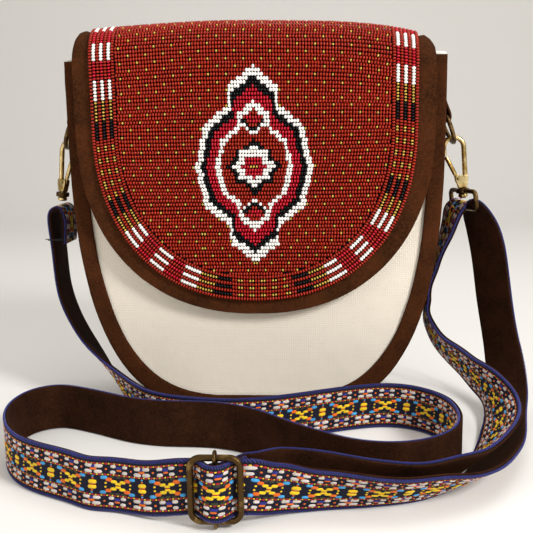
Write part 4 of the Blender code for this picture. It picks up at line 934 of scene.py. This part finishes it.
def makeTabAndRing(side, word):
    gap, wire, thick = ring["gap"], ring["wire"], ring["tabThick"]
    wrap = wire + 2 * gap + thick / 2
    path = [(ring["seamX"], ring["tabTop"] - ring["tabStep"] * i) for i in range(12)]
    path += [(ring["barX"] + wrap * math.cos(math.pi + math.pi * i / 20),
              ring["barZ"] + wrap * math.sin(math.pi + math.pi * i / 20)) for i in range(21)]
    topX = ring["seamX"] + thick + gap
    path += [(ring["barX"] + wrap + (topX - ring["barX"] - wrap) * smoothShare(i / 10),
              ring["barZ"] + (ring["tabMeet"] - ring["barZ"]) * i / 10) for i in range(1, 11)]
    path += [(topX, ring["tabMeet"] + (ring["tabTop"] - ring["tabMeet"]) * i / 8) for i in range(1, 9)]
    rows = []
    for i, (x, z) in enumerate(path):
        before, after = path[max(0, i - 1)], path[min(len(path) - 1, i + 1)]
        rows.append(((side * x, 0, z), (side * (after[0] - before[0]), 0, after[1] - before[1]), (0, 1, 0)))
    section = softRectangle(ring["tabWidth"] / 2, -thick / 2, thick / 2, ring["tabRound"])
    stripPiece("ringTab." + word, rows, section, suedeBrown, "bag", ("ring_tab_" + word,))
    tilt = math.radians(ring["tilt"])
    away = Vector((side * math.sin(tilt), 0, -math.cos(tilt)))
    normal = Vector((0, 1, 0)).cross(away)
    corner, half, reach = ring["corner"], ring["half"], ring["reach"]
    straight = reach - corner - half
    moves = [(2 * (half - corner),), (90, corner), (straight,), (90, half), (90, half), (straight,), (90, corner)]
    barEnd = (side * ring["barX"], -half + corner, ring["barZ"])
    rod = bentRod(barEnd, (0, 1, 0), normal, wire, moves, True)
    finishPiece(rod, "dRing." + word, darkBrass, "ring_" + word, ("d_ring_" + word,))


makeTabAndRing(-1, "left")
makeTabAndRing(1, "right")
print("ring tabs and D-rings made")

# Snap hooks
hook = {"wire": 0.0015, "bend": 0.0059, "bendU": -0.0032, "bendV": 0.0250, "tipV": 0.0206, "blockTall": 0.0077,
        "topLeft": 0.0043, "topRight": 0.0037, "bottom": 0.0025, "thick": 0.0040, "pivotU": -0.0025,
        "pivotV": 0.0058, "gateWire": 0.0013, "tang": 0.0012, "eye": 0.0016, "pin": 0.0007, "stem": 0.0016,
        "head": 0.0028, "headTall": 0.0022, "boss": 0.0040, "bossTall": 0.0028, "loopWire": 0.0014,
        "loopDrop": 0.0104, "loopRound": 0.0030, "loopHalf": 0.0157, "gap": 0.0003, "sweep": 0.012,
        "sweepCut": 0.001, "footRise": 0.0010, "footFlare": (0.0003, 0.0002), "slotLeft": -0.009,
        "slotTop": 0.016, "stemIn": 0.004, "stemOut": 0.0008, "tipIn": 0.0004, "pinOut": 0.00015,
        "holeOut": 0.002, "holeDeep": 0.008, "blockBevel": 0.0006, "cutBevel": 0.00005, "stemBevel": 0.0001,
        "headBevel": 0.0007, "gateBevel": 0.0004, "thinBevel": 0.0002}
hookSeats = {
    "left": {"start": (-0.121703, 0, 0.130417), "up": (0.104528, 0, 0.994522),
             "out": (-0.761848, 0.642788, 0.080073), "turn": 0.0},
    "right": {"start": (0.123008, 0, 0.129951), "up": (-0.104528, 0, 0.994522), "out": (0.994522, 0, 0.104528),
              "turn": 17.0}}


def slab(at, outline, halfThick, bevel):
    # a flat cast part from its outline
    piece = pushedOut([at(u, v, -halfThick) for u, v in outline], at(0, 0, halfThick) - at(0, 0, -halfThick))
    roundEdges(piece, bevel, 3, 40.0)
    return piece


def makeHook(word):
    seat = hookSeats[word]
    start, up, out = Vector(seat["start"]), Vector(seat["up"]).normalized(), Vector(seat["out"]).normalized()
    through = out.cross(up)
    body = "hook_" + word

    def at(u, v, w=0.0):
        return start + out * u + up * v + through * w

    wireU = hook["topRight"] - hook["wire"]
    topU = hook["bendU"] + hook["bend"]
    first = Vector((topU - wireU, hook["bendV"] - hook["blockTall"] - hook["wire"]))
    lean = math.degrees(math.atan2(first.x, first.y))
    curve = hook["sweep"]
    lower = at(wireU, hook["blockTall"] * 0.4)
    moves = [(hook["blockTall"] * 0.6 + hook["wire"],), (-lean, curve), (first.length - hook["sweepCut"],),
             (lean, curve), (90, hook["bend"]), (88, hook["bend"]), (hook["bendV"] - hook["tipV"],)]
    wire = bentRod(lower, up, through, hook["wire"], moves, tip=hook["wire"] * 0.45)
    foot, rise, tall, flare = hook["bottom"], hook["footRise"], hook["blockTall"], hook["footFlare"]
    outline = [(-hook["topLeft"], tall), (-hook["topLeft"] * 0.93, tall * 0.6), (-foot - flare[0], rise),
               (-foot, 0.0), (foot, 0.0), (foot + flare[1], rise), (hook["topRight"] * 0.97, tall * 0.6),
               (hook["topRight"], tall)]
    block = slab(at, outline, hook["thick"] / 2, hook["blockBevel"])
    low = hook["pivotV"] - hook["eye"] - hook["gap"]
    right = hook["pivotU"] + hook["eye"] + 2 * hook["gap"]
    left, top = hook["slotLeft"], hook["slotTop"]
    cutter = slab(at, [(left, low), (right, low), (right, top), (left, top)], hook["tang"] / 2 + hook["gap"],
                  hook["cutBevel"])
    cutWith(block, cutter)
    stemLow = -hook["bossTall"] - 2 * hook["gap"]
    stem = disc(at(0, stemLow - hook["stemOut"]), up, hook["stem"], hook["stemIn"] - stemLow,
                hook["stemBevel"], 20)
    head = disc(at(0, stemLow), -up, hook["head"], hook["headTall"], hook["headBevel"], 28)
    finishPiece(joinParts([wire, block, stem, head]), "hookBody." + word, brightBrass, body,
                ("hook_body_" + word,))

    pivot = at(hook["pivotU"], hook["pivotV"])
    tipU = hook["bendU"] - hook["bend"] + hook["tipIn"]
    leanGate = math.atan2(tipU - hook["pivotU"], hook["tipV"] - hook["pivotV"])
    gateUp = up * math.cos(leanGate) + out * math.sin(leanGate)
    gateOut = out * math.cos(leanGate) - up * math.sin(leanGate)
    end = math.hypot(tipU - hook["pivotU"], hook["tipV"] - hook["pivotV"]) - 3 * hook["gap"]
    begin = (hook["blockTall"] - hook["pivotV"]) / math.cos(leanGate) + 3 * hook["gap"]
    bar = disc(pivot + gateUp * begin, gateUp, hook["gateWire"], end - begin, hook["gateBevel"], 20)

    def tangAt(u, v, w=0.0):
        return pivot + gateOut * u + gateUp * v + through * w

    eye = [(hook["eye"] * math.cos(math.radians(a)), hook["eye"] * math.sin(math.radians(a)))
           for a in range(180, 361, 15)]
    neck = begin + hook["gateWire"]
    tang = slab(tangAt, eye + [(hook["gateWire"] * 0.8, neck), (-hook["gateWire"] * 0.8, neck)],
                hook["tang"] / 2, hook["thinBevel"])
    finishPiece(joinParts([bar, tang]), "hookGate." + word, brightBrass, "gate_" + word,
                ("hook_gate_" + word,))
    pin = disc(at(hook["pivotU"], hook["pivotV"], -hook["thick"] / 2 - hook["pinOut"]), through, hook["pin"],
               hook["thick"] + 2 * hook["pinOut"], hook["thinBevel"], 16)
    finishPiece(pin, "gatePin." + word, darkBrass, body, ("gate_pin_" + word,))
    makeSwivelLoop(word, start, up, math.radians(seat["turn"]))


def makeSwivelLoop(word, start, up, turn):
    long = Vector((math.sin(turn), -math.cos(turn), 0))
    long = (long - up * long.dot(up)).normalized()
    topV = -hook["gap"] - hook["bossTall"] / 2
    half, corner = hook["loopHalf"], hook["loopRound"]
    middle = start + up * topV
    moves = roundedLoop(half, hook["loopDrop"] - 2 * corner, corner)
    rod = bentRod(middle, long, long.cross(-up), hook["loopWire"], moves, True)
    boss = disc(start - up * hook["gap"], -up, hook["boss"], hook["bossTall"], hook["blockBevel"], 32)
    hole = disc(start + up * hook["holeOut"], -up, hook["stem"] + hook["gap"], hook["holeDeep"],
                hook["cutBevel"], 24)
    body = joinParts([rod, boss])
    cutWith(body, hole)
    finishPiece(body, "swivelLoop." + word, darkBrass, "bag", ("swivel_loop_" + word,))


makeHook("left")
makeHook("right")
print("snap hooks, gates and swivel loops made")

# Slider
slider = {"centre": (-0.0095, -0.1755, 0.0176), "wire": 0.00145, "halfWide": 0.01065, "halfTall": 0.01425,
          "round": 0.0045, "bar": 0.0013, "barY": -0.1743, "eye": 0.00255, "eyeWire": 0.0008,
          "barBack": 0.0012, "barIn": 0.0002, "barBevel": 0.0001}


def makeSlider():
    centre = Vector(slider["centre"])
    wide, tall, corner = slider["halfWide"], slider["halfTall"], slider["round"]
    moves = roundedLoop(wide, 2 * (tall - corner), corner)
    frameRod = bentRod(centre - Vector((0, 0, tall)), (1, 0, 0), (0, -1, 0), slider["wire"], moves, True, 20)
    finishPiece(frameRod, "sliderFrame", darkBrass, "slider", ("slider_frame",))
    reach = tall - math.sqrt(slider["eye"] ** 2 - slider["barBack"] ** 2) + slider["barIn"]
    barMiddle = Vector((centre.x, slider["barY"], centre.z))
    parts = [disc(barMiddle - Vector((0, 0, reach)), (0, 0, 1), slider["bar"], 2 * reach,
                  slider["barBevel"], 20)]
    for sign in (1, -1):
        eyeCentre = centre + Vector((0, 0, sign * tall))
        parts.append(bentRod(eyeCentre + Vector((0, slider["eye"], 0)), (0, 0, 1), (1, 0, 0), slider["eyeWire"],
                             [(90, slider["eye"])] * 4, True, 12))
    finishPiece(joinParts(parts), "sliderBar", darkBrass, "slider", ("slider_bar",))


makeSlider()
print("slider made")

# Strap, its route in tenths of a millimetre; the hundredths after a place are its upper edge's direction,
# which is straight up where they are left out
strap = {"half": 0.0125, "low": 0.00015, "high": 0.00110, "step": 0.0012, "sliderX": -0.0095, "endShare": 0.80,
         "window": 0.0092, "marks": (49, 68, 108, 111), "period": 0.025, "slant": 0.13, "dotPitch": 0.00135,
         "loopPitch": 0.0009, "joinGap": 0.00002, "fine": 0.0004, "evenReach": 30, "evenSpan": 60, "evenEnd": 66,
         "evenFade": 40, "plump": 1.15, "bandInset": 0.0003, "bandRound": 0.0002, "backingRound": 0.00025,
         "floatHigh": 0.00042, "dotMargin": 0.01}
strapRoute = [
    (-1195, 0, 992, 0, -100, 0), (-1185, 0, 1087, 0, -100, 0), (-1189, 0, 1161, 0, -100, 0),
    (-1220, 0, 1212, 0, -100, 0), (-1255, 0, 1201, 0, -100, 0), (-1274, 0, 1141, 0, -100, 0),
    (-1268, 0, 1047, 0, -100, 0), (-1258, 0, 909, 0, -100, 0), (-1235, -5, 671, 0, -100, 5),
    (-1160, -35, 488, -8, -96, 28), (-1056, -98, 349, -20, -86, 47), (-904, -249, 223, -18, -65, 74),
    (-740, -470, 150, -10, -30, 95), (-566, -690, 131, 0, -10, 99), (-358, -795, 131), (-159, -825, 131),
    (40, -806, 131), (229, -742, 131), (408, -663, 131), (557, -605, 131), (696, -572, 131), (825, -586, 131),
    (944, -665, 131), (1024, -784, 131), (1056, -949, 131), (1044, -1109, 131), (989, -1244, 131),
    (900, -1341, 131), (775, -1406, 131), (636, -1418, 131), (497, -1379, 131), (368, -1295, 131),
    (219, -1176, 131), (80, -1044, 131), (-70, -935, 131), (-238, -883, 131), (-457, -869, 131),
    (-656, -820, 131), (-825, -730, 131), (-984, -646, 131), (-1113, -611, 131), (-1217, -665, 131),
    (-1277, -800, 131), (-1274, -979, 131), (-1217, -1155, 131), (-1113, -1320, 131), (-964, -1441, 131),
    (-785, -1536, 131), (-596, -1615, 131), (-447, -1655, 131), (-445, -1667, 129), (-362, -1689, 148),
    (-279, -1711, 168), (-235, -1722, 176), (-205, -1722, 176), (-183, -1723, 176), (-161, -1739, 176),
    (-141, -1767, 176), (-121, -1788, 176), (-95, -1796, 176), (-69, -1788, 176), (-49, -1767, 176),
    (-29, -1739, 176), (-7, -1723, 176), (15, -1722, 176), (45, -1720, 176), (95, -1705, 163, 0, -12, 99),
    (181, -1669, 145, 0, -21, 98), (282, -1647, 129, 0, -36, 93), (398, -1632, 122, 0, -46, 89),
    (547, -1625, 114, 0, -58, 81), (706, -1601, 105, 0, -68, 73), (875, -1536, 98, 0, -74, 67),
    (1007, -1450, 83, 12, -83, 55), (1094, -1355, 78, 42, -75, 50), (1174, -1223, 75, 61, -64, 48),
    (1248, -1071, 75, 75, -46, 47), (1319, -846, 74, 83, -31, 47), (1391, -572, 81, 84, -30, 45),
    (1438, -405, 121, 78, -50, 38), (1465, -260, 209, 70, -64, 30), (1464, -135, 352, 64, -75, 17),
    (1429, -70, 599, 64, -76, 6), (1399, -49, 826, 64, -76, 0), (1358, -40, 1024, 60, -79, 10),
    (1307, -18, 1145, 45, -89, 6), (1243, 0, 1208, 31, -95, 0), (1193, 0, 1183, 28, -96, 2),
    (1167, 0, 1122, 20, -97, 12), (1143, 4, 1029, 12, -98, 13), (1102, 4, 899, -4, -99, 10),
    (1074, 4, 792, -8, -99, 12), (1041, -7, 694, -8, -99, 15), (1029, -35, 599, -6, -99, 15),
    (1022, -81, 526, -4, -97, 22), (1044, -142, 452, 3, -94, 34), (1100, -240, 377, 4, -91, 42),
    (1166, -390, 333, 8, -91, 40), (1220, -565, 303, 12, -92, 36), (1263, -742, 279, 20, -93, 32),
    (1278, -907, 243, 28, -90, 33), (1250, -1069, 213, 30, -88, 36), (1174, -1228, 178, 20, -86, 46),
    (1071, -1348, 143, 10, -81, 58), (949, -1436, 128, 0, -68, 73), (800, -1502, 114, 0, -58, 81),
    (636, -1537, 122, 0, -46, 89), (472, -1553, 139, 0, -32, 95), (311, -1565, 160, 0, -16, 99),
    (181, -1579, 166, 0, -6, 100), (121, -1623, 174, 0, -2, 100), (65, -1658, 176), (15, -1667, 176),
    (-27, -1675, 176), (-63, -1702, 176), (-88, -1717, 176), (-102, -1717, 176), (-114, -1724, 176),
    (-121, -1736, 176), (-121, -1750, 176), (-114, -1762, 176), (-102, -1769, 176), (-88, -1769, 176),
    (-59, -1737, 176), (-46, -1719, 176), (-29, -1705, 176), (-12, -1696, 176), (11, -1693, 176),
    (36, -1690, 176),
]


def threadRoute(rows):
    # a natural cubic through the rows, read at even steps: the length at each row, the steps and their values
    knots = np.concatenate([[0.0], np.cumsum(np.linalg.norm(np.diff(rows[:, :3], axis=0), axis=1))])
    count = len(rows)
    matrix, right = np.zeros((count, count)), np.zeros_like(rows)
    matrix[0, 0] = matrix[-1, -1] = 1.0
    for i in range(1, count - 1):
        before, after = knots[i] - knots[i - 1], knots[i + 1] - knots[i]
        matrix[i, i - 1:i + 2] = before, 2 * (before + after), after
        right[i] = 6 * ((rows[i + 1] - rows[i]) / after - (rows[i] - rows[i - 1]) / before)
    bend = np.linalg.solve(matrix, right)
    places = np.linspace(0, knots[-1], int(knots[-1] / strap["fine"]) + 2)
    i = np.clip(np.searchsorted(knots, places) - 1, 0, count - 2)
    span = (knots[i + 1] - knots[i])[:, None]
    a = (knots[i + 1] - places)[:, None] / span
    b = 1 - a
    value = a * rows[i] + b * rows[i + 1]
    value += ((a ** 3 - a) * bend[i] + (b ** 3 - b) * bend[i + 1]) * span ** 2 / 6
    return knots, places, value


def smoothShares(values):
    values = np.clip(values, 0, 1)
    return values * values * (3 - 2 * values)


routeRows = np.array([row if len(row) > 3 else (*row, 0, 0, 100) for row in strapRoute])
strapKnots, roughPlaces, roughValue = threadRoute(routeRows / (10000, 10000, 10000, 100, 100, 100))
# the stiff band runs evenly past the sewn join
evenSpan = strap["evenSpan"]
kernel = np.exp(-(np.arange(-evenSpan, evenSpan + 1) / strap["evenReach"]) ** 2)
widened = np.pad(roughValue, ((evenSpan, evenSpan), (0, 0)), mode="edge")
evenValue = np.array([np.convolve(column, kernel / kernel.sum(), "valid") for column in widened.T]).T
beyond = np.abs(roughPlaces - strapKnots[strap["marks"][0]]) / strap["fine"]
share = smoothShares((strap["evenEnd"] - beyond) / strap["evenFade"])[:, None]
roughValue = roughValue * (1 - share) + evenValue * share
roughLength = np.concatenate([[0], np.cumsum(np.linalg.norm(np.diff(roughValue[:, :3], axis=0), axis=1))])
fineCount = len(roughPlaces)
fineStep = roughLength[-1] / (fineCount - 1)
finePlaces = np.arange(fineCount) * fineStep
fineValue = np.array([np.interp(finePlaces, roughLength, column) for column in roughValue.T]).T
fineRun = np.gradient(fineValue[:, :3], axis=0)
fineRun /= np.linalg.norm(fineRun, axis=1)[:, None]
fineEdge = fineValue[:, 3:] - fineRun * np.sum(fineValue[:, 3:] * fineRun, axis=1)[:, None]
fineEdge /= np.linalg.norm(fineEdge, axis=1)[:, None]
fineFace = np.cross(fineRun, fineEdge)
strapMarks = [0.0] + [float(np.interp(strapKnots[i], roughPlaces, roughLength)) for i in strap["marks"]]
strapMarks.append(float(roughLength[-1]))
# the sewn end is narrower where it goes through the slider
beside = np.abs(fineValue[:, 0] - strap["sliderX"]) / strap["window"]
narrowed = strap["endShare"] + (1 - strap["endShare"]) * smoothShares(beside - 0.45)
fineWidth = np.where(finePlaces > strapMarks[4], narrowed, 1.0)


def onStrap(s, v, h):
    # points at length s, v across and h out from the strap's middle layer
    spot = np.clip(np.asarray(s) / fineStep, 0, fineCount - 1.001)
    low = spot.astype(int)
    share = (spot - low)[..., None]

    def mix(values):
        return values[low] * (1 - share) + values[low + 1] * share
    width = mix(fineWidth[:, None])
    return (mix(fineValue[:, :3]) + mix(fineEdge) * np.asarray(v)[..., None] * width +
            mix(fineFace) * np.asarray(h)[..., None])


strapPieces = [("strapLeft", 0, 1, "bag", "strap_left"), ("strapAdjusterLeft", 1, 2, "bag", "strap_adjuster"),
               ("strapAdjusterRight", 1, 2, "bag", "strap_adjuster"), ("strapRight", 2, 3, "bag", "strap_right"),
               ("strapSlack", 3, 4, "bag", "strap_slack"), ("strapEnd", 4, 5, "slider", "strap_end")]


def strapRange(name, first, last):
    # where a length starts and stops; the one over the slider bar is halved at the bar
    low, high = strapMarks[first], strapMarks[last]
    if "Adjuster" in name:
        inside = [i for i in range(fineCount) if low < i * fineStep < high]
        middle = min(inside, key=lambda i: abs(fineValue[i, 0] - strap["sliderX"])) * fineStep
        return (low, middle) if "Left" in name else (middle, high)
    return low, high


def strapLayer(name, low, high, halfWide, bottom, top, bend, material, body, replaced):
    # one cloth layer of the strap with its own length and width as UV
    places = np.append(np.arange(low + strap["joinGap"], high, strap["step"]), high - strap["joinGap"])
    section = softRectangle(halfWide, bottom, top, bend, 10)
    points = np.concatenate([onStrap(np.full(len(section), s), [a for a, _ in section], [b for _, b in section])
                             for s in places])
    piece = makePiece(name, points, loftFaces(len(places), len(section)), material, body, replaced, 60.0)
    layer = piece.data.uv_layers.new(name="cloth")
    count = len(section)
    for loop in piece.data.loops:
        layer.data[loop.index].uv = (places[loop.vertex_index // count], section[loop.vertex_index % count][0])
    return piece


def modelFloat():
    # one raised yarn float, length 2 across X, rounded to its two tips
    activate()
    bpy.ops.mesh.primitive_uv_sphere_add(segments=6, ring_count=4, radius=1, rotation=(0, math.radians(90), 0))
    piece = bpy.context.object
    takePlace(piece)
    bpy.ops.object.mode_set(mode="EDIT")
    shape = bmesh.from_edit_mesh(piece.data)
    for vertex in shape.verts:
        vertex.select = 0.5 < abs(vertex.co.x) < 0.9
    bmesh.update_edit_mesh(piece.data)
    bpy.ops.transform.resize(value=(1.0, 1.22, 1.22))
    bpy.ops.object.mode_set(mode="OBJECT")
    return takeMesh(piece)


floatPoints, floatFaces = modelFloat()
yarnColours = {"white": "#CFC5BE", "yellow": "#EBC40E", "orange": "#E0660F", "sky": "#3F9AD2", "red": "#A50D1C",
               "blue": "#23237E", "olive": "#2C3014", "edge": "#292A7C"}


def patternMotifs():
    # floats of one repeat: place along, across, length, width, colour; millimetres
    motifs = []
    for sign in (-1, 1):
        band = sign * 7.5
        for centre, reach, length, wide in ((0.0, 2.4, 3.7, 1.6), (12.5, 3.0, 2.6, 1.45)):
            motifs += [(centre + way * reach, band + lane, length, wide, "white") for way in (-1, 1)
                       for lane in (-1.35, 1.35)]
        motifs += [(0.0, band + 1.15, 2.1, 1.2, "blue"), (0.0, band - 0.1, 3.3, 1.15, "orange")]
        motifs += [(12.5, band + 0.75, 2.9, 1.35, "blue"), (12.5, band - 0.45, 2.5, 0.85, "orange")]
        motifs += [(place, band - 0.1, 1.0, 0.8, "orange") for place in (6.1, 18.9)]
        motifs += [(place, sign * 4.0, 2.2, 1.0, "olive") for place in (9.4, 12.5, 15.6)]
        motifs += [(0.0, sign * 1.2, 3.9, 1.9, "yellow"), (0.0, sign * 2.9, 0.9, 0.7, "orange"),
                   (0.0, sign * 3.9, 1.0, 0.7, "sky"), (12.5, sign * 0.75, 2.7, 1.1, "yellow")]
        for way in (-1, 1):
            motifs += [(12.5 + way * 7.2, sign * 3.5, 3.0, 1.5, "sky"),
                       (12.5 + way * 4.7, sign * 2.6, 3.0, 1.6, "orange"),
                       (12.5 + way * 2.2, sign * 1.7, 3.0, 1.4, "yellow"),
                       (12.5 + way * 6.2, sign * 0.9, 1.0, 0.8, "yellow")]
    return motifs + [(0.0, 0.0, 3.4, 0.7, "red"), (12.5, 0.0, 2.2, 0.6, "red")]


tieDots = ((0.00045, 0.00034, "yellow"), (0.00072, 0.00047, "red"))
edging = {"sides": 5, "radius": 0.00028, "tip": 0.55, "darker": 0.72,
          "path": [(0.0113, 0.00102, 0.0006), (0.0119, 0.00120, 0.0003), (0.0124, 0.00106, 0.0001),
                   (0.0126, 0.00072, -0.0002), (0.0125, 0.00034, -0.0004), (0.0120, 0.00020, -0.0006)]}


def strapFloats(low, high):
    # place, across, half length, half width and colour of each float between low and high
    spots = []
    period, pitch = strap["period"], strap["dotPitch"]
    for k in range(int(low / period) - 2, int(high / period) + 3):
        for s, v, length, wide, word in patternMotifs():
            place = k * period + s / 1000 + strap["slant"] * v / 1000
            spots.append((place, v / 1000, length * strap["plump"] / 2000, wide * strap["plump"] / 2000, word))
    for v in (-10.0, -4.9, 4.9, 10.0):
        for i in range(int((low - strap["dotMargin"]) / pitch), int((high + strap["dotMargin"]) / pitch)):
            spots.append((i * pitch + strap["slant"] * v / 1000, v / 1000, *tieDots[i % 2]))
    return [spot for spot in spots if low <= spot[0] < high]


def layFloats(name, low, high, body):
    placed, colours = [], []
    for place, v, halfLong, halfWide, word in strapFloats(low, high):
        shade = random.uniform(0.85, 1.1)
        size = random.uniform(0.93, 1.05)
        s = place + floatPoints[:, 0] * halfLong * size + strap["slant"] * floatPoints[:, 1] * halfWide
        across = v + floatPoints[:, 1] * halfWide * size
        lift = strap["high"] + floatPoints[:, 2] * min(strap["floatHigh"], halfWide * 0.6)
        placed.append(onStrap(s, across, lift))
        colours.append(shaded(yarnColours[word], shade))
    return repeated(name, floatPoints, floatFaces, np.array(placed), colours, weftYarn, body)


def stitchTube():
    # one overlock stitch as a tube round the strap's edge: along, across and out for each point
    path, tube = edging["path"], []
    for i, (edge, lift, ahead) in enumerate(path):
        before, after = path[max(0, i - 1)], path[min(len(path) - 1, i + 1)]
        run = np.array([after[2] - before[2], after[0] - before[0], after[1] - before[1]])
        run /= np.linalg.norm(run)
        first = np.cross(run, (1, 0, 0))
        first /= np.linalg.norm(first)
        second = np.cross(run, first)
        slim = edging["radius"] * (edging["tip"] if i in (0, len(path) - 1) else 1.0)
        for k in range(edging["sides"]):
            angle = 2 * math.pi * k / edging["sides"]
            off = first * math.cos(angle) * slim + second * math.sin(angle) * slim
            tube.append((ahead, off[0], edge + off[1], lift + off[2]))
    return tube


def layEdging(name, low, high, body):
    # overlock thread over both edges: each stitch wraps from the face round to the back
    tube = stitchTube()
    placed, colours = [], []
    stitch = int(low / strap["loopPitch"]) + 1
    while stitch * strap["loopPitch"] < high:
        place = stitch * strap["loopPitch"]
        for sign in (-1, 1):
            s = [place + ahead + off for ahead, off, _, _ in tube]
            placed.append(onStrap(s, [sign * edge for _, _, edge, _ in tube], [lift for _, _, _, lift in tube]))
            shade = random.uniform(0.75, 1.15) * (1.0 if stitch % 2 else edging["darker"])
            colours.append(shaded(yarnColours["edge"], shade))
        stitch += 1
    faces = loftFaces(len(edging["path"]), edging["sides"])
    piece = repeated(name, tube, faces, np.array(placed), colours, edgeYarn, body)
    activate(piece)
    openWhole()
    faceOut()
    return piece


def strapMiddle(s):
    return tuple(float(c) for c in onStrap(np.array([s]), np.array([0.0]), np.array([0.0]))[0])


def makeStrap():
    # the lengths between the bag and the slider are given to no body; True where the slider holds the near end
    flexing = {"strapAdjusterLeft": False, "strapAdjusterRight": True, "strapSlack": False}
    half, low, high = strap["half"], strap["low"], strap["high"]
    for name, first, last, body, node in strapPieces:
        begin, stop = strapRange(name, first, last)
        body = None if name in flexing else body
        pieces = [strapLayer(name + "Band", begin, stop, half - strap["bandInset"], low, high, strap["bandRound"],
                             bandGround, body, (node + "_webbing",)),
                  strapLayer(name + "Backing", begin, stop, half, -high, -low, strap["backingRound"],
                             suedeStrap, body, (node + "_backing",)),
                  layFloats(name + "Floats", begin, stop, body), layEdging(name + "Edging", begin, stop, body)]
        if name in flexing:
            start, end = (strapMiddle(s) for s in ((stop, begin) if flexing[name] else (begin, stop)))
            for piece in pieces:
                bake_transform(piece)


makeStrap()
print("strap made in", len(strapPieces), "lengths")

tack = {"z": 0.1020, "outer": -0.1273, "inner": -0.1180, "thread": 0.00028,
        "rows": (-0.003, -0.001, 0.001, 0.003), "double": 0.0004,
        "turns": ((-0.0121, 0.0003, 0.0032), (-0.0125, -0.0003, 0.0015))}


def tackThread(y, lift, longer):
    run = tack["inner"] - tack["outer"] + longer * 1.6
    return bentRod((tack["outer"] - longer, y, tack["z"] + lift), (1, 0, 0), (0, 0, 1), tack["thread"], [(run,)],
                   False, 8)


def makeTack():
    # the fold's two ends sewn together with doubled black thread
    parts = [tackThread(y, lift, 0.0) for y in tack["rows"] for lift in (-tack["double"], tack["double"])]
    # the last turns run round the front edge and end in short tails
    parts += [tackThread(*turn) for turn in tack["turns"]]
    finishPiece(joinParts(parts), "strapTack", sewingThread, "bag", ("strap_tack",))


makeTack()
print("strap tack sewn")
